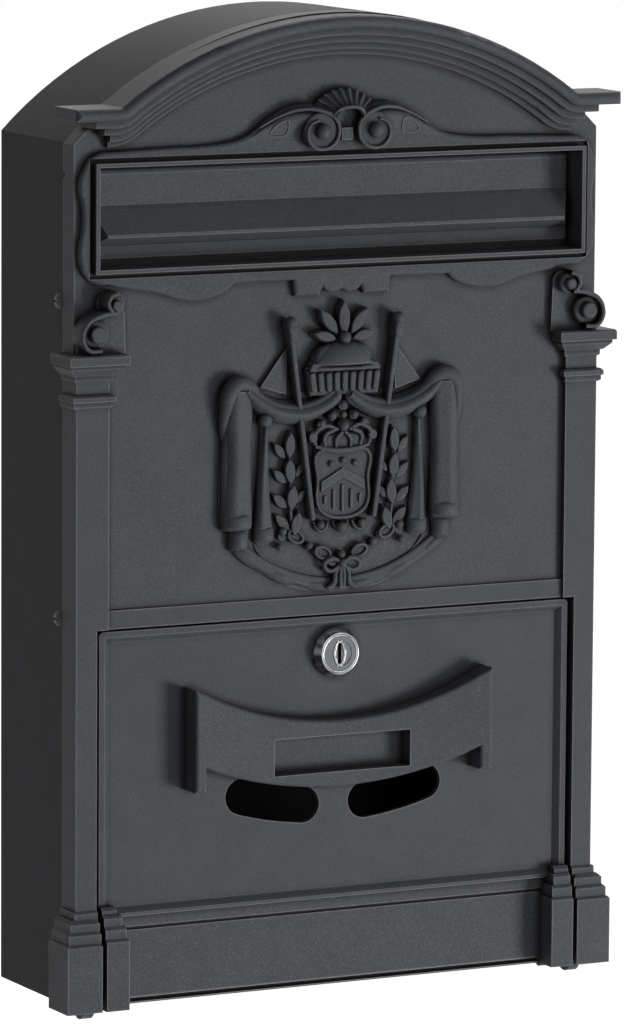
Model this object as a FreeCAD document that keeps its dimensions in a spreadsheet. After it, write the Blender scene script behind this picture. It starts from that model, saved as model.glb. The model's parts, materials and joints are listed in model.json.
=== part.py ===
import FreeCAD, Part
import math
import os
import Sketcher

# Wall mounted post box. Lengths in millimetres, +Z up, the wall is the plane y = 0 and the front
# looks towards -Y. Heights are measured from the underside of the base while a piece is drawn, and
# every piece is then lowered by mount_height, so that the origin is the centre of the wall holes.
# "Forward" is a distance in front of the wall. Levels such as rim_level are forward of the panel.

doc = FreeCAD.newDocument("post_box")
sizes = doc.addObject("Spreadsheet::Sheet", "Sizes")

driving_sizes = {
    # overall
    "mount_height": 200.0, "panel_depth": 72.0, "panel_half": 122.0, "cast_wall": 2.6,
    "flange_depth": 10.5, "sheet_wall": 0.8, "plate_wall": 1.0, "sheet_setback": 0.5,
    "seam_gap": 0.2,
    # cornice
    "cornice_radius": 177.0, "cornice_top": 409.6, "ear_top": 374.4, "ear_half": 126.8,
    "ear_back": 8.6, "corner_radius": 3.0, "roll_height": 5.4, "roll_level": 13.8,
    "step_height": 2.1, "step_bevel": 1.1, "step_one_level": 10.8, "step_two_level": 8.0,
    "step_three_level": 5.2, "step_foot_level": 2.8, "step_one_half": 117.0,
    "step_two_half": 112.0, "step_three_half": 108.2,
    # sheet metal roof
    "roof_radius": 171.0, "roof_top": 410.2, "shell_base": 0.7,
    # letter slot
    "slot_half": 112.6, "slot_low": 307.7, "slot_high": 349.6, "rim_width": 1.7,
    "rim_level": 5.3, "moat_width": 2.0, "moat_level": 0.6, "cartouche_level": 3.0,
    "cartouche_bevel": 1.7, "collar_wall": 2.2, "collar_depth": 16.0, "stop_depth": 9.6,
    "stop_height": 6.3,
    # letter flap
    "flap_gap": 1.0, "flap_low": 311.2, "flap_face_depth": 7.1, "flap_wall": 2.2,
    "flap_axis_height": 346.0, "flap_axis_depth": 10.4, "flap_barrel_radius": 3.0,
    "rod_radius": 1.5, "rod_clearance": 0.05, "rod_seat_clearance": 0.02, "rod_reach": 3.2,
    "lip_half": 105.5, "lip_high": 321.4, "lip_low": 320.2, "lip_level": 0.4,
    "wedge_high": 333.0, "wedge_low": 316.2, "clip_radius": 4.2, "clip_wall": 0.8,
    # pilasters
    "shaft_width": 14.9, "shaft_level": 2.7, "moulding_depth": 9.8,
    # rail and lower door
    "rail_high": 166.5, "rail_level": 1.2, "crest_half": 56.0, "crest_rise": 1.8,
    "opening_inset": 9.6, "opening_high": 158.7,
    "lip_stop_drop": 2.9, "lip_stop_wall": 1.9, "lip_stop_half": 100.0,
    "door_gap": 1.8, "door_level": 0.5, "door_floor_level": -2.0, "door_depth": 8.3,
    "strip_width": 4.9, "strip_bevel": 2.3, "recess_low": 41.4, "fascia_low": 37.7,
    "fascia_level": 2.2, "groove_high": 32.6, "groove_low": 31.3, "groove_depth": 1.3,
    # handle with the name window
    "handle_half": 70.0, "handle_high": 132.0, "handle_low": 88.6, "handle_level": 9.4,
    "handle_middle_level": 5.6, "handle_top_middle": 114.2, "handle_top_radius": 143.0,
    "handle_low_middle": 85.9, "handle_low_radius": 174.0, "leg_width": 5.4,
    "handle_round": 1.4, "window_half": 32.0, "window_low": 92.4, "window_high": 107.8,
    # view slots
    "view_radius": 152.3, "view_centre": 229.6, "view_half_height": 7.8, "view_near": 14.6,
    "view_far": 43.0,
    # door hinge
    "hinge_depth": 3.5, "hinge_height": 1.6, "pin_radius": 1.5, "pin_clearance": 0.05,
    "pin_seat_clearance": 0.02, "knuckle_radius": 3.2, "knuckle_length": 10.0,
    "lug_radius": 6.2, "lug_gap": 0.5, "lug_wall": 4.7,
    # lock
    "lock_drop": 16.8, "barrel_radius": 8.0, "barrel_length": 18.5, "barrel_clearance": 0.2,
    "head_radius": 10.6, "head_wall": 2.0, "head_front_radius": 9.0, "head_length": 5.2,
    "plug_radius": 5.5, "plug_clearance": 0.05, "plug_recess": 0.5, "key_width": 1.6,
    "key_height": 8.6, "key_depth": 9.0, "drive_side": 6.0, "drive_length": 2.0,
    "drive_clearance": 0.02, "washer_radius": 11.0, "washer_wall": 0.8, "nut_wall": 3.5,
    "nut_flats": 22.0, "cam_wall": 2.0, "cam_half": 7.0, "cam_reach": 24.5,
    "cam_crank": 10.5, "cam_play": 0.5, "cam_washer_radius": 5.5, "cam_screw_radius": 2.0,
    "cam_screw_length": 6.0, "cam_screw_head": 3.6, "cam_screw_head_wall": 2.2,
    # side screws and the ears that take them
    "side_screw_upper": 293.9, "side_screw_lower": 162.2, "side_screw_forward": 57.5,
    "side_screw_radius": 2.0, "side_screw_hole": 2.15, "side_screw_head": 3.4,
    "side_screw_head_wall": 1.9, "side_screw_length": 7.0, "ear_wall": 4.5,
    "ear_half_height": 7.0, "ear_reach": 20.0, "ear_gap": 0.2, "thread_clearance": 0.02,
    # back plate and bottom plate
    "hole_spacing_x": 160.0, "hole_spacing_z": 220.0, "hole_radius": 3.25,
    "tab_depth": 12.0, "back_tab_low": 45.0, "back_tab_high": 345.0,
}
for row, (alias, value) in enumerate(driving_sizes.items(), start=1):
    sizes.set(f"A{row}", alias)
    sizes.set(f"B{row}", str(value))
    sizes.setAlias(f"B{row}", alias)
doc.recompute()


def size(alias):
    return float(sizes.get(alias))


def value_of(expression):
    """Works out an expression written with the sheet's aliases."""
    return float(sizes.evalExpression(expression.replace("Sizes.", "")))


nodes = []


def new_body(label):
    """A piece made as one body."""
    body = doc.addObject("PartDesign::Body", label)
    body.setExpression("Placement.Base.z", "-Sizes.mount_height")
    nodes.append(body)
    return body


def form(label):
    """A body that is later joined to others to make one cast piece."""
    return doc.addObject("PartDesign::Body", label)


def fuse(label, forms, refine):
    joined = doc.addObject("Part::MultiFuse", label)
    joined.Shapes = forms
    joined.Refine = refine
    return joined


def cast_together(label, forms, relief_forms, drillings):
    """One casting from several forms that run into each other, drilled after casting."""
    plain = fuse(label + "_plain", forms, True)
    carving = fuse(label + "_carving", relief_forms, False)
    casting = doc.addObject("Part::Cut", label)
    casting.Base = fuse(label + "_rough", [plain, carving], False)
    casting.Tool = drillings
    casting.Refine = False
    casting.setExpression("Placement.Base.z", "-Sizes.mount_height")
    nodes.append(casting)


def new_sketch(body, name, role, offset):
    """A sketch parallel to one of the body's origin planes, moved along its normal."""
    sketch = body.newObject("Sketcher::SketchObject", name)
    plane = [item for item in body.Origin.OriginFeatures if item.Role == role][0]
    sketch.AttachmentSupport = [(plane, "")]
    sketch.MapMode = "FlatFace"
    sketch.setExpression("AttachmentOffset.Base.z", offset)
    return sketch


def front_sketch(body, name, forward):
    return new_sketch(body, name, "XZ_Plane", forward)


def side_sketch(body, name, x):
    """A sketch seen from the right, with the forward distance to the left and z up."""
    return new_sketch(body, name, "YZ_Plane", x)


def point(x, y):
    return FreeCAD.Vector(x, y, 0)


def add_outline(sketch, start, *steps):
    """A closed outline. A step is an end point, or a middle point and an end point of an arc."""
    here = start
    first = sketch.GeometryCount
    for step in steps:
        if len(step) == 2:
            sketch.addGeometry(Part.LineSegment(point(*here), point(*step)))
            here = step
        else:
            end = step[2:]
            sketch.addGeometry(Part.Arc(point(*here), point(*step[:2]), point(*end)))
            here = end
    if math.dist(here, start) > 1e-6:
        sketch.addGeometry(Part.LineSegment(point(*here), point(*start)))
    for index in range(first, sketch.GeometryCount):
        sketch.addConstraint(Sketcher.Constraint("Block", index))


def add_rectangle(sketch, left, right, low, high):
    """A rectangle whose four sides are bound to expressions of the sheet."""
    x1, x2, y1, y2 = (value_of(side) for side in (left, right, low, high))
    first = sketch.GeometryCount
    corners = [point(x1, y1), point(x2, y1), point(x2, y2), point(x1, y2)]
    for index in range(4):
        sketch.addGeometry(Part.LineSegment(corners[index], corners[(index + 1) % 4]))
    for index in range(4):
        following = first + (index + 1) % 4
        sketch.addConstraint(Sketcher.Constraint("Coincident", first + index, 2, following, 1))
        direction = "Vertical" if index % 2 else "Horizontal"
        sketch.addConstraint(Sketcher.Constraint(direction, first + index))
    for kind, corner, number, side in (("DistanceX", 0, x1, left), ("DistanceY", 0, y1, low),
                                       ("DistanceX", 2, x2, right), ("DistanceY", 2, y2, high)):
        place = sketch.addConstraint(Sketcher.Constraint(kind, -1, 1, first + corner, 1, number))
        sketch.setExpression(f"Constraints[{place}]", side)


def add_circle(sketch, x, y, radius):
    """A circle whose centre and radius are bound to expressions of the sheet."""
    centre = point(value_of(x), value_of(y))
    index = sketch.addGeometry(Part.Circle(centre, FreeCAD.Vector(0, 0, 1), value_of(radius)))
    for kind, number, side in (("DistanceX", centre.x, x), ("DistanceY", centre.y, y)):
        place = sketch.addConstraint(Sketcher.Constraint(kind, -1, 1, index, 3, number))
        sketch.setExpression(f"Constraints[{place}]", side)
    place = sketch.addConstraint(Sketcher.Constraint("Radius", index, value_of(radius)))
    sketch.setExpression(f"Constraints[{place}]", radius)


def pad(body, sketch, length, backward=False):
    feature = body.newObject("PartDesign::Pad", sketch.Name + "_pad")
    feature.Profile = sketch
    feature.Reversed = backward
    feature.Refine = False
    feature.setExpression("Length", length)
    sketch.Visibility = False
    return feature


def pocket(body, sketch, length, forward=False):
    feature = body.newObject("PartDesign::Pocket", sketch.Name + "_pocket")
    feature.Profile = sketch
    feature.Reversed = forward
    feature.Refine = False
    feature.setExpression("Length", length)
    sketch.Visibility = False
    return feature


def block(body, name, sides, back, front):
    """A rectangular pad from one forward distance to another."""
    sketch = front_sketch(body, name, back)
    add_rectangle(sketch, *sides)
    return pad(body, sketch, f"({front}) - ({back})")


def edge_names(feature, choose):
    """Names of a feature's edges whose two end points and middle pass a test."""
    names = []
    for number, edge in enumerate(feature.Shape.Edges, start=1):
        spots = [vertex.Point for vertex in edge.Vertexes]
        spots.append(edge.valueAt((edge.FirstParameter + edge.LastParameter) / 2))
        if all(choose(spot) for spot in spots):
            names.append(f"Edge{number}")
    return names


def round_edges(body, feature, name, radius, choose, kind="Fillet"):
    doc.recompute()
    chosen = edge_names(feature, choose)
    rounded = body.newObject("PartDesign::" + kind, name)
    rounded.Base = (feature, chosen)
    rounded.Refine = False
    rounded.setExpression("Radius" if kind == "Fillet" else "Size", radius)
    return rounded


panel = "Sizes.panel_depth"
shaft_in = "(Sizes.panel_half - Sizes.shaft_width)"
opening_half = "(Sizes.panel_half - Sizes.opening_inset)"
lug_in = f"({opening_half} + Sizes.lug_gap)"
lug_out = f"({lug_in} + Sizes.lug_wall)"
lock_height = "(Sizes.opening_high - Sizes.lock_drop)"


def level(alias):
    """The forward distance of a level that the sheet gives from the panel's face."""
    return f"{panel} + Sizes.{alias}"


def near(number, target):
    return abs(number - target) < 1e-4


def mirrored_halves(half):
    """Closes an outline given from the lower middle to the upper middle with its mirror image."""
    ends = [step[-2:] for step in half]
    back = []
    for index in range(len(half) - 1, 0, -1):
        middle = half[index][:-2]
        x, y = ends[index - 1]
        back.append((-middle[0], middle[1], -x, y) if middle else (-x, y))
    return [*half, *back]


def twin_blocks(body, name, sides, back, front):
    """The same rectangular pad on the left and on the right."""
    inner, outer, low, high = sides
    sketch = front_sketch(body, name, back)
    add_rectangle(sketch, inner, outer, low, high)
    add_rectangle(sketch, f"-({outer})", f"-({inner})", low, high)
    return pad(body, sketch, f"({front}) - ({back})")


def moulding(body, name, sides, back, front, bevel, upper, around=True):
    """A twin block bevelled along its upper or lower edges, in front and around its sides."""
    feature = twin_blocks(body, name, sides, back, front)
    inner, outer, low, high = (value_of(side) for side in sides)
    rim = high if upper else low
    face = -value_of(front)

    def on_rim(spot):
        across = around and (near(abs(spot.x), outer) or near(abs(spot.x), inner))
        return near(spot.z, rim) and inner - 0.01 < abs(spot.x) < outer + 0.01 and (
            near(spot.y, face) or across and spot.y > face - 0.01)

    return round_edges(body, feature, name + "_bevel", bevel, on_rim, "Chamfer")


# Front casting
panel_half = size("panel_half")
roof_centre = size("roof_top") - size("roof_radius")
cornice_centre = size("cornice_top") - size("cornice_radius")


def arch_outline(inset):
    """Straight sides and a segmental top, moved inward from the casting's outside by inset."""
    half = panel_half - inset
    radius = size("roof_radius") - inset
    eaves = roof_centre + math.sqrt(radius**2 - half**2)
    return [(-half, inset), (half, inset), (half, eaves),
            (0, roof_centre + radius, -half, eaves)]


def cornice_path(offset):
    """Right half of the cornice line, from the ear to the middle, moved inward by offset."""
    low = size("ear_top") - offset
    radius = size("cornice_radius") - offset
    bend = size("corner_radius") + offset
    bend_height = low + bend
    rise = bend_height - cornice_centre
    bend_x = math.sqrt((radius + bend)**2 - rise**2)
    share = radius / (radius + bend)
    meet = (bend_x * share, cornice_centre + rise * share)
    chord = ((bend_x + meet[0]) / 2 - bend_x, (low + meet[1]) / 2 - bend_height)
    stretch = bend / math.hypot(*chord)
    middle = (bend_x + chord[0] * stretch, bend_height + chord[1] * stretch)
    return low, (bend_x, low), middle, meet, cornice_centre + radius


def on_cornice_path(spot, offset):
    """Tells whether a point lies on the cornice line moved inward by offset."""
    low, start, middle, meet, top = cornice_path(offset)
    x, z = abs(spot.x), spot.z
    on_arch = near(math.hypot(x, z - cornice_centre), top - cornice_centre)
    bend = size("corner_radius") + offset
    return on_arch or near(z, low) or near(math.hypot(x - start[0], z - low - bend), bend)


def cornice_outline(half, offset):
    """The band between the cornice's outside and a parallel line, with straight ears."""
    high, start, middle, meet, top = cornice_path(0)
    low, low_start, low_middle, low_meet, low_top = cornice_path(offset)
    return [(-half, low), (-low_start[0], low),
            (-low_middle[0], low_middle[1], -low_meet[0], low_meet[1]),
            (0, low_top, *low_meet), (*low_middle, *low_start), (half, low), (half, high), start,
            (*middle, *meet), (0, top, -meet[0], meet[1]), (-middle[0], middle[1], -start[0], high),
            (-half, high)]


# The panel with its flange, the door opening, the lip over it and what is cast on its back.
front_panel = form("front_panel")
outline = front_sketch(front_panel, "casting_outline", f"{panel} - Sizes.flange_depth")
add_outline(outline, *arch_outline(0))
pad(front_panel, outline, "Sizes.flange_depth")


def hollow_back(body, name):
    """Takes away what stands behind the panel, inside its flange."""
    hollow = front_sketch(body, name, f"{panel} - Sizes.flange_depth")
    add_outline(hollow, *arch_outline(size("cast_wall")))
    pocket(body, hollow, "Sizes.flange_depth - Sizes.cast_wall", forward=True)


hollow_back(front_panel, "casting_hollow")
block(front_panel, "rail", (f"-{shaft_in}", shaft_in, "Sizes.opening_high",
                            "Sizes.rail_high"), f"{panel} - 1", level("rail_level"))


def cut_opening(body, name):
    """The door opening, which runs out at the foot of the casting."""
    opening = front_sketch(body, name, f"{panel} + 20")
    add_rectangle(opening, f"-{opening_half}", opening_half, "-10",
                  "Sizes.opening_high")
    pocket(body, opening, "20 + Sizes.flange_depth + 5")


cut_opening(front_panel, "door_opening")
slot_sides = ("-Sizes.slot_half", "Sizes.slot_half", "Sizes.slot_low", "Sizes.slot_high")
panel_slot = front_sketch(front_panel, "panel_slot", f"{panel} + 5")
add_rectangle(panel_slot, *slot_sides)
pocket(front_panel, panel_slot, "20")
lip_back = f"{panel} - Sizes.door_depth - 0.3 - Sizes.lip_stop_wall"
block(front_panel, "lip_web", ("-Sizes.lip_stop_half", "Sizes.lip_stop_half",
                               "Sizes.opening_high",
                               "Sizes.opening_high + Sizes.lip_stop_wall"),
      lip_back, f"{panel} - 1")
block(front_panel, "lip_stop", ("-Sizes.lip_stop_half", "Sizes.lip_stop_half",
                                "Sizes.opening_high - Sizes.lip_stop_drop",
                                "Sizes.opening_high + Sizes.lip_stop_wall"),
      lip_back, f"{lip_back} + Sizes.lip_stop_wall")
ear_out = "Sizes.panel_half - Sizes.sheet_setback - Sizes.sheet_wall - Sizes.ear_gap"
for name in ("upper", "lower"):
    middle = f"Sizes.side_screw_{name}"
    twin_blocks(front_panel, f"ears_{name}", (f"{ear_out} - Sizes.ear_wall", ear_out,
                                              f"{middle} - Sizes.ear_half_height",
                                              f"{middle} + Sizes.ear_half_height"),
                f"{panel} - Sizes.ear_reach", f"{panel} - 1")
hinge_place = (f"Sizes.hinge_depth - {panel}", "Sizes.hinge_height")
for side in (-1, 1):
    tag = "left" if side < 0 else "right"
    lug = side_sketch(front_panel, f"lug_{tag}", f"{side} * {lug_in}")
    add_circle(lug, *hinge_place, "Sizes.lug_radius")
    pad(front_panel, lug, "Sizes.lug_wall", backward=side < 0)

# Cornice: a round roll over four steps, all parallel to the cornice line.
cornice = form("cornice")
offset = 0
for name, height, half, reach in (("roll", "roll_height", "ear_half", "roll_level"),
                                  ("step_one", "step_height", "step_one_half", "step_one_level"),
                                  ("step_two", "step_height", "step_two_half", "step_two_level"),
                                  ("step_three", "step_height", "step_three_half",
                                   "step_three_level"),
                                  ("step_foot", "step_height", "step_three_half",
                                   "step_foot_level")):
    offset += size(height) * (0.7 if name == "step_foot" else 1) + (0.9 if name != "roll" else 0)
    fall = offset
    band = front_sketch(cornice, name, f"{panel} - Sizes.ear_back")
    add_outline(band, *cornice_outline(size(half), offset))
    course = pad(cornice, band, f"Sizes.ear_back + Sizes.{reach}")
    front = -value_of(level(reach))
    if name == "roll":
        rounding = size("roll_height") / 2 - 0.2
        round_edges(cornice, course, "roll_nose", str(rounding),
                    lambda spot: near(spot.y, front))
    else:
        round_edges(cornice, course, name + "_nose", "Sizes.step_bevel * 0.8",
                    lambda spot: near(spot.y, front) and on_cornice_path(spot, fall))
hollow_back(cornice, "cornice_hollow")

# Pilasters: shafts, capitals and the outer halves of the bases.
pilasters = form("pilasters")
wrap = f"{panel} - Sizes.moulding_depth"
twin_blocks(pilasters, "shafts", (shaft_in, "Sizes.panel_half", "0", "262"),
            f"{panel} - 1", level("shaft_level"))
cut_opening(pilasters, "shaft_notch")
for name, inner, outer, low, high, reach, bevel, upper in (
        ("capital_ring", 106.3, 123.6, 250.9, 253.6, 3.9, 0.6, False),
        ("astragal", 105.0, 124.2, 253.6, 256.4, 5.0, 0.9, True),
        ("capital_fillet", 106.0, 123.1, 261.8, 264.6, 3.6, 0.6, False),
        ("ovolo", 102.4, 126.7, 264.6, 269.0, 7.9, 2.9, False),
        ("abacus", 100.9, 127.9, 269.0, 273.3, 9.6, 0.7, True)):
    moulding(pilasters, name, (str(inner), f"Sizes.panel_half + {outer - 122:.1f}", str(low),
                               str(high)), wrap, f"{panel} + {reach}", str(bevel), upper)
for name, outer, low, high, reach, bevel, around in (
        ("base_top", 1.0, 38.6, 41.8, 4.0, 0.8, False),
        ("base_second", 3.7, 33.9, 38.6, 6.0, 1.6, True),
        ("base_third", 5.0, 28.8, 33.9, 7.5, 1.2, True),
        ("base_block", 6.3, 0, 28.8, 8.9, 0.8, True)):
    moulding(pilasters, name, (opening_half, f"Sizes.panel_half + {outer}", str(low),
                               str(high)), wrap, f"{panel} + {reach}", str(bevel), True, around)
hollow_back(pilasters, "pilaster_hollow")

# Cartouche around the letter slot, with a moat, a raised rim and a collar behind the slot.
surround = form("slot_surround")
cartouche = front_sketch(surround, "cartouche", f"{panel} - 1")
add_outline(cartouche, (0, 295.2), *mirrored_halves([
    (0, 295.2), (4.9, 293.9, 8.9, 296.0), (10.2, 293.0), (22.0, 293.0), (23.0, 299.7),
    (50.0, 299.6), (52.8, 297.0, 57.0, 295.0), (66.0, 293.1, 81.0, 295.7),
    (88.0, 297.6, 96.0, 298.8), (108.0, 300.9), (115.6, 302.9, 119.6, 307.6),
    (120.9, 314.6, 119.9, 321.6), (119.1, 330.6, 120.0, 337.0), (120.8, 343.8, 118.9, 348.9),
    (115.9, 353.4, 110.4, 355.9), (75.0, 356.9), (61.0, 357.2, 50.0, 358.6),
    (44.5, 360.6, 39.8, 363.6), (33.6, 368.2, 25.5, 371.9), (19.5, 373.1, 13.2, 372.6),
    (7.9, 376.9, 0, 378.6)])[1:])
ornament = pad(surround, cartouche, "1 + Sizes.cartouche_level")
face_y = -value_of(level("cartouche_level"))
round_edges(surround, ornament, "cartouche_edge", "Sizes.cartouche_bevel",
            lambda spot: near(spot.y, face_y))
moat_reach = "(Sizes.rim_width + Sizes.moat_width)"
moat = front_sketch(surround, "moat", level("moat_level"))
add_rectangle(moat, f"-Sizes.slot_half - {moat_reach}", f"Sizes.slot_half + {moat_reach}",
              f"Sizes.slot_low - {moat_reach}", f"Sizes.slot_high + {moat_reach}")
pocket(surround, moat, "10", forward=True)
for name, reach, back, front in (("rim", "Sizes.rim_width", f"{panel} - 1", level("rim_level")),
                                 ("collar", "Sizes.collar_wall",
                                  f"{panel} - Sizes.collar_depth", f"{panel} - 1")):
    block(surround, name, (f"-Sizes.slot_half - {reach}", f"Sizes.slot_half + {reach}",
                           f"Sizes.slot_low - {reach}", f"Sizes.slot_high + {reach}"), back, front)
slot = front_sketch(surround, "slot", f"{panel} - Sizes.collar_depth")
add_rectangle(slot, *slot_sides)
pocket(surround, slot, "Sizes.collar_depth + 20", forward=True)
block(surround, "flap_stop", ("-Sizes.slot_half", "Sizes.slot_half", "Sizes.slot_low",
                              "Sizes.slot_low + Sizes.stop_height"),
      f"{panel} - Sizes.stop_depth - 2", f"{panel} - Sizes.stop_depth")

# Volutes over the slot with a small block between them, and the brackets on the capitals.
ornaments = form("ornaments")


def twin_discs(name, x, z, radius, reach, rounding):
    """A pair of round bosses with rounded rims, mirrored across the middle."""
    sketch = front_sketch(ornaments, name, panel)
    add_circle(sketch, f"{x}", f"{z}", f"{radius}")
    add_circle(sketch, f"-{x}", f"{z}", f"{radius}")
    disc = pad(ornaments, sketch, f"{reach}")
    rim_y = -size("panel_depth") - reach
    round_edges(ornaments, disc, name + "_edge", f"{rounding}",
                lambda spot: near(spot.y, rim_y)
                and near(math.hypot(abs(spot.x) - x, spot.z - z), radius))


twin_discs("volutes", 12.6, 361.8, 7.8, 7.6, 1.2)
twin_discs("volute_eyes", 12.6, 361.8, 2.7, 9.8, 1.2)
block(ornaments, "volute_block", ("-2.6", "2.6", "357.6", "362.7"), panel, f"{panel} + 6.4")
backings = front_sketch(ornaments, "bracket_backings", f"{panel} - 1")
for side in (-1, 1):
    add_outline(backings, (side * 99.7, 273.0), (side * 121.6, 273.0), (side * 121.6, 280.0),
                (side * 119.5, 288.0, side * 112.0, 291.0),
                (side * 111.6, 297.0, side * 106.0, 298.4),
                (side * 101.6, 297.2, side * 100.4, 293.0))
pad(ornaments, backings, "3.5")
twin_discs("scrolls", 115.0, 281.8, 6.0, 6.6, 1.1)
twin_discs("knobs", 115.0, 281.8, 3.5, 9.5, 1.1)
twin_discs("small_scrolls", 106.3, 293.4, 4.2, 6.4, 1.1)
twin_discs("small_knobs", 106.3, 293.4, 2.4, 9.2, 1.1)

# The crest on the field under the slot: a draped mantle with a domed cap, a shield between
# branches, two staffs, a garland and a bow. It is drawn in its own millimetres over the rail.
crest_forms = []
crest_scale = size("crest_half") / 56
crest_foot = size("rail_high") + size("crest_rise")


def crest_step(step):
    return tuple(number * crest_scale if index % 2 == 0 else crest_foot + number * crest_scale
                 for index, number in enumerate(step))


def relief(name, reach, rounding, shapes):
    """Closed shapes of the crest raised by reach over the panel, with rounded front edges."""
    raised = form(name)
    sketch = front_sketch(raised, name + "_outline", f"{panel} - 1")
    for shape in shapes:
        add_outline(sketch, *[crest_step(step) for step in shape])
    swell = pad(raised, sketch, f"1 + {reach}")
    front = -size("panel_depth") - reach
    if rounding:
        round_edges(raised, swell, name + "_edge", str(rounding),
                    lambda spot: near(spot.y, front))
    crest_forms.append(raised)


def twin(*shapes):
    """Shapes and their mirror images across the middle line."""
    mirrored = [[tuple(-number if index % 2 == 0 else number for index, number in enumerate(step))
                 for step in shape] for shape in shapes]
    return [*shapes, *mirrored]


def disc(x, z, radius):
    return [(x - radius, z), (x, z + radius, x + radius, z), (x, z - radius, x - radius, z)]


def rod(x1, z1, x2, z2, width):
    """A straight bar with round ends."""
    length = math.dist((x1, z1), (x2, z2))
    along = ((x2 - x1) / length * width / 2, (z2 - z1) / length * width / 2)
    across = (-along[1], along[0])
    return [(x1 + across[0], z1 + across[1]),
            (x1 - along[0], z1 - along[1], x1 - across[0], z1 - across[1]),
            (x2 - across[0], z2 - across[1]),
            (x2 + along[0], z2 + along[1], x2 + across[0], z2 + across[1])]


def bow_bar(x, z, radius, width, start, end):
    """A bar with round ends, bent round a centre from one angle to another."""
    def spot(distance, angle):
        turn = math.radians(angle)
        return x + distance * math.cos(turn), z + distance * math.sin(turn)

    inner = radius - width / 2
    outer = radius + width / 2
    middle = (start + end) / 2
    cap = math.degrees(width / 2 / radius)
    return [spot(outer, start), (*spot(outer, middle), *spot(outer, end)),
            (*spot(radius, end + cap), *spot(inner, end)),
            (*spot(inner, middle), *spot(inner, start)),
            (*spot(radius, start - cap), *spot(outer, start))]


def leaf(x, z, angle, length, width):
    """A pointed leaf from its stalk end, turned by an angle from the right."""
    turn = math.radians(angle)
    along = (math.cos(turn), math.sin(turn))
    middle = (x + along[0] * length / 2, z + along[1] * length / 2)
    side = (-along[1] * width / 2, along[0] * width / 2)
    tip = (x + along[0] * length, z + along[1] * length)
    return [(x, z), (middle[0] + side[0], middle[1] + side[1], *tip),
            (middle[0] - side[0], middle[1] - side[1], x, z)]


relief("mantle", 0.9, 0, [[(0, 0), *mirrored_halves([
    (0, 0), (20.0, 2.2, 36.0, 9.6), (44.0, 15.0, 51.5, 20.5), (52.0, 28.5), (56.0, 29.5),
    (56.2, 50.0, 54.6, 72.0), (57.6, 79.0, 54.2, 84.6), (50.4, 89.2, 44.6, 88.8),
    (40.0, 87.6, 35.4, 84.2), (29.5, 80.6, 22.0, 82.0), (22.0, 84.5), (0, 84.5)])[1:]]])
relief("hem", 2.3, 1.2, [[(-49.0, 19.5), (0, 0.8, 49.0, 19.5), (44.5, 22.5),
                          (0, 6.0, -44.5, 22.5)]])
relief("curtains", 4.4, 2.6, twin(
    [(43.0, 82.0), (42.6, 60.0, 41.8, 33.0), (48.5, 30.2, 55.4, 32.0), (55.6, 55.0, 54.0, 82.0)]))
relief("curtain_feet", 2.8, 0.7, twin(
    [(42.4, 32.5), (43.4, 22.6), (46.8, 20.8, 50.6, 22.0), (50.6, 28.8), (54.8, 29.6),
     (54.8, 35.0)]))
relief("drapes", 3.0, 1.0, twin(
    [(35.2, 72.0), (33.6, 48.0, 31.2, 24.0), (36.0, 21.4, 40.6, 23.6), (38.8, 50.0, 37.4, 72.0)]))
relief("drape_balls", 4.4, 1.6, twin(disc(36.2, 74.2, 2.8)))
relief("swags", 5.6, 2.2, twin(bow_bar(22.2, 105.3, 29.0, 7.6, 232, 316)))
relief("shoulders", 5.0, 2.6, twin(disc(49.4, 81.8, 7.2)))
relief("pennants", 1.9, 0, twin([(25.0, 104.0), (25.6, 84.0), (37.5, 87.5)]))
relief("staffs", 6.0, 0.8, twin(rod(14.4, 32.0, 25.4, 113.0, 2.2)))
relief("staff_tips", 7.2, 1.2, twin(rod(24.6, 108.0, 25.4, 114.0, 3.6)))
relief("cap_band", 5.0, 1.0, [[(-16.0, 83.0), (16.0, 83.0), (17.2, 93.4), (-17.2, 93.4)]])
relief("gadroons", 6.2, 1.0, [rod(x, 85.8, x * 1.05, 91.6, 3.0)
                              for x in (-14.4, -10.8, -7.2, -3.6, 0, 3.6, 7.2, 10.8, 14.4)])
relief("cap_rings", 6.4, 0.7, [[(-16.4, 93.2), (16.4, 93.2), (16.4, 94.8), (15.0, 96.6),
                                (-15.0, 96.6), (-16.4, 94.8)]])
relief("cap_dome", 5.6, 3.0, [[(-13.6, 96.0), (13.6, 96.0), (12.4, 101.4, 6.0, 104.9),
                               (-6.0, 104.9), (-12.4, 101.4, -13.6, 96.0)]])
relief("finial_stalk", 3.6, 1.0, [[(-4.4, 104.0), (4.4, 104.0), (2.6, 106.6, 3.2, 109.6),
                                   (-3.2, 109.6), (-2.6, 106.6, -4.4, 104.0)]])
relief("finial", 5.4, 0.9, [leaf(0, 107.4, 90, 15.0, 5.4)] + twin(
    leaf(2.9, 108.4, 52, 13.2, 5.0), leaf(3.6, 106.4, 14, 10.6, 4.4)))
relief("finial_seed", 6.2, 1.4, [disc(0, 107.4, 2.6)])
relief("shield", 3.8, 0.7, [[(-12.6, 60.0), (-12.6, 35.0), (0, 30.4, 12.6, 35.0),
                             (12.6, 60.0)]])
relief("shield_field", 4.7, 0.35, [
    [(-10.2, 46.8), (-10.2, 42.6), (0, 48.2), (10.2, 42.6), (10.2, 46.8), (0, 52.4)],
    rod(0, 34.4, 0, 44.6, 1.3)] + twin(rod(4.1, 35.6, 4.1, 42.6, 1.3),
                                       rod(8.2, 38.0, 8.2, 40.4, 1.3)))
relief("coronet", 4.0, 0.9, [[(-10.4, 60.6), (0, 59.6, 10.4, 60.6), (9.2, 64.6, 5.2, 66.6),
                              (0, 67.6, -5.2, 66.6), (-9.2, 64.6, -10.4, 60.6)]])
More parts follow.
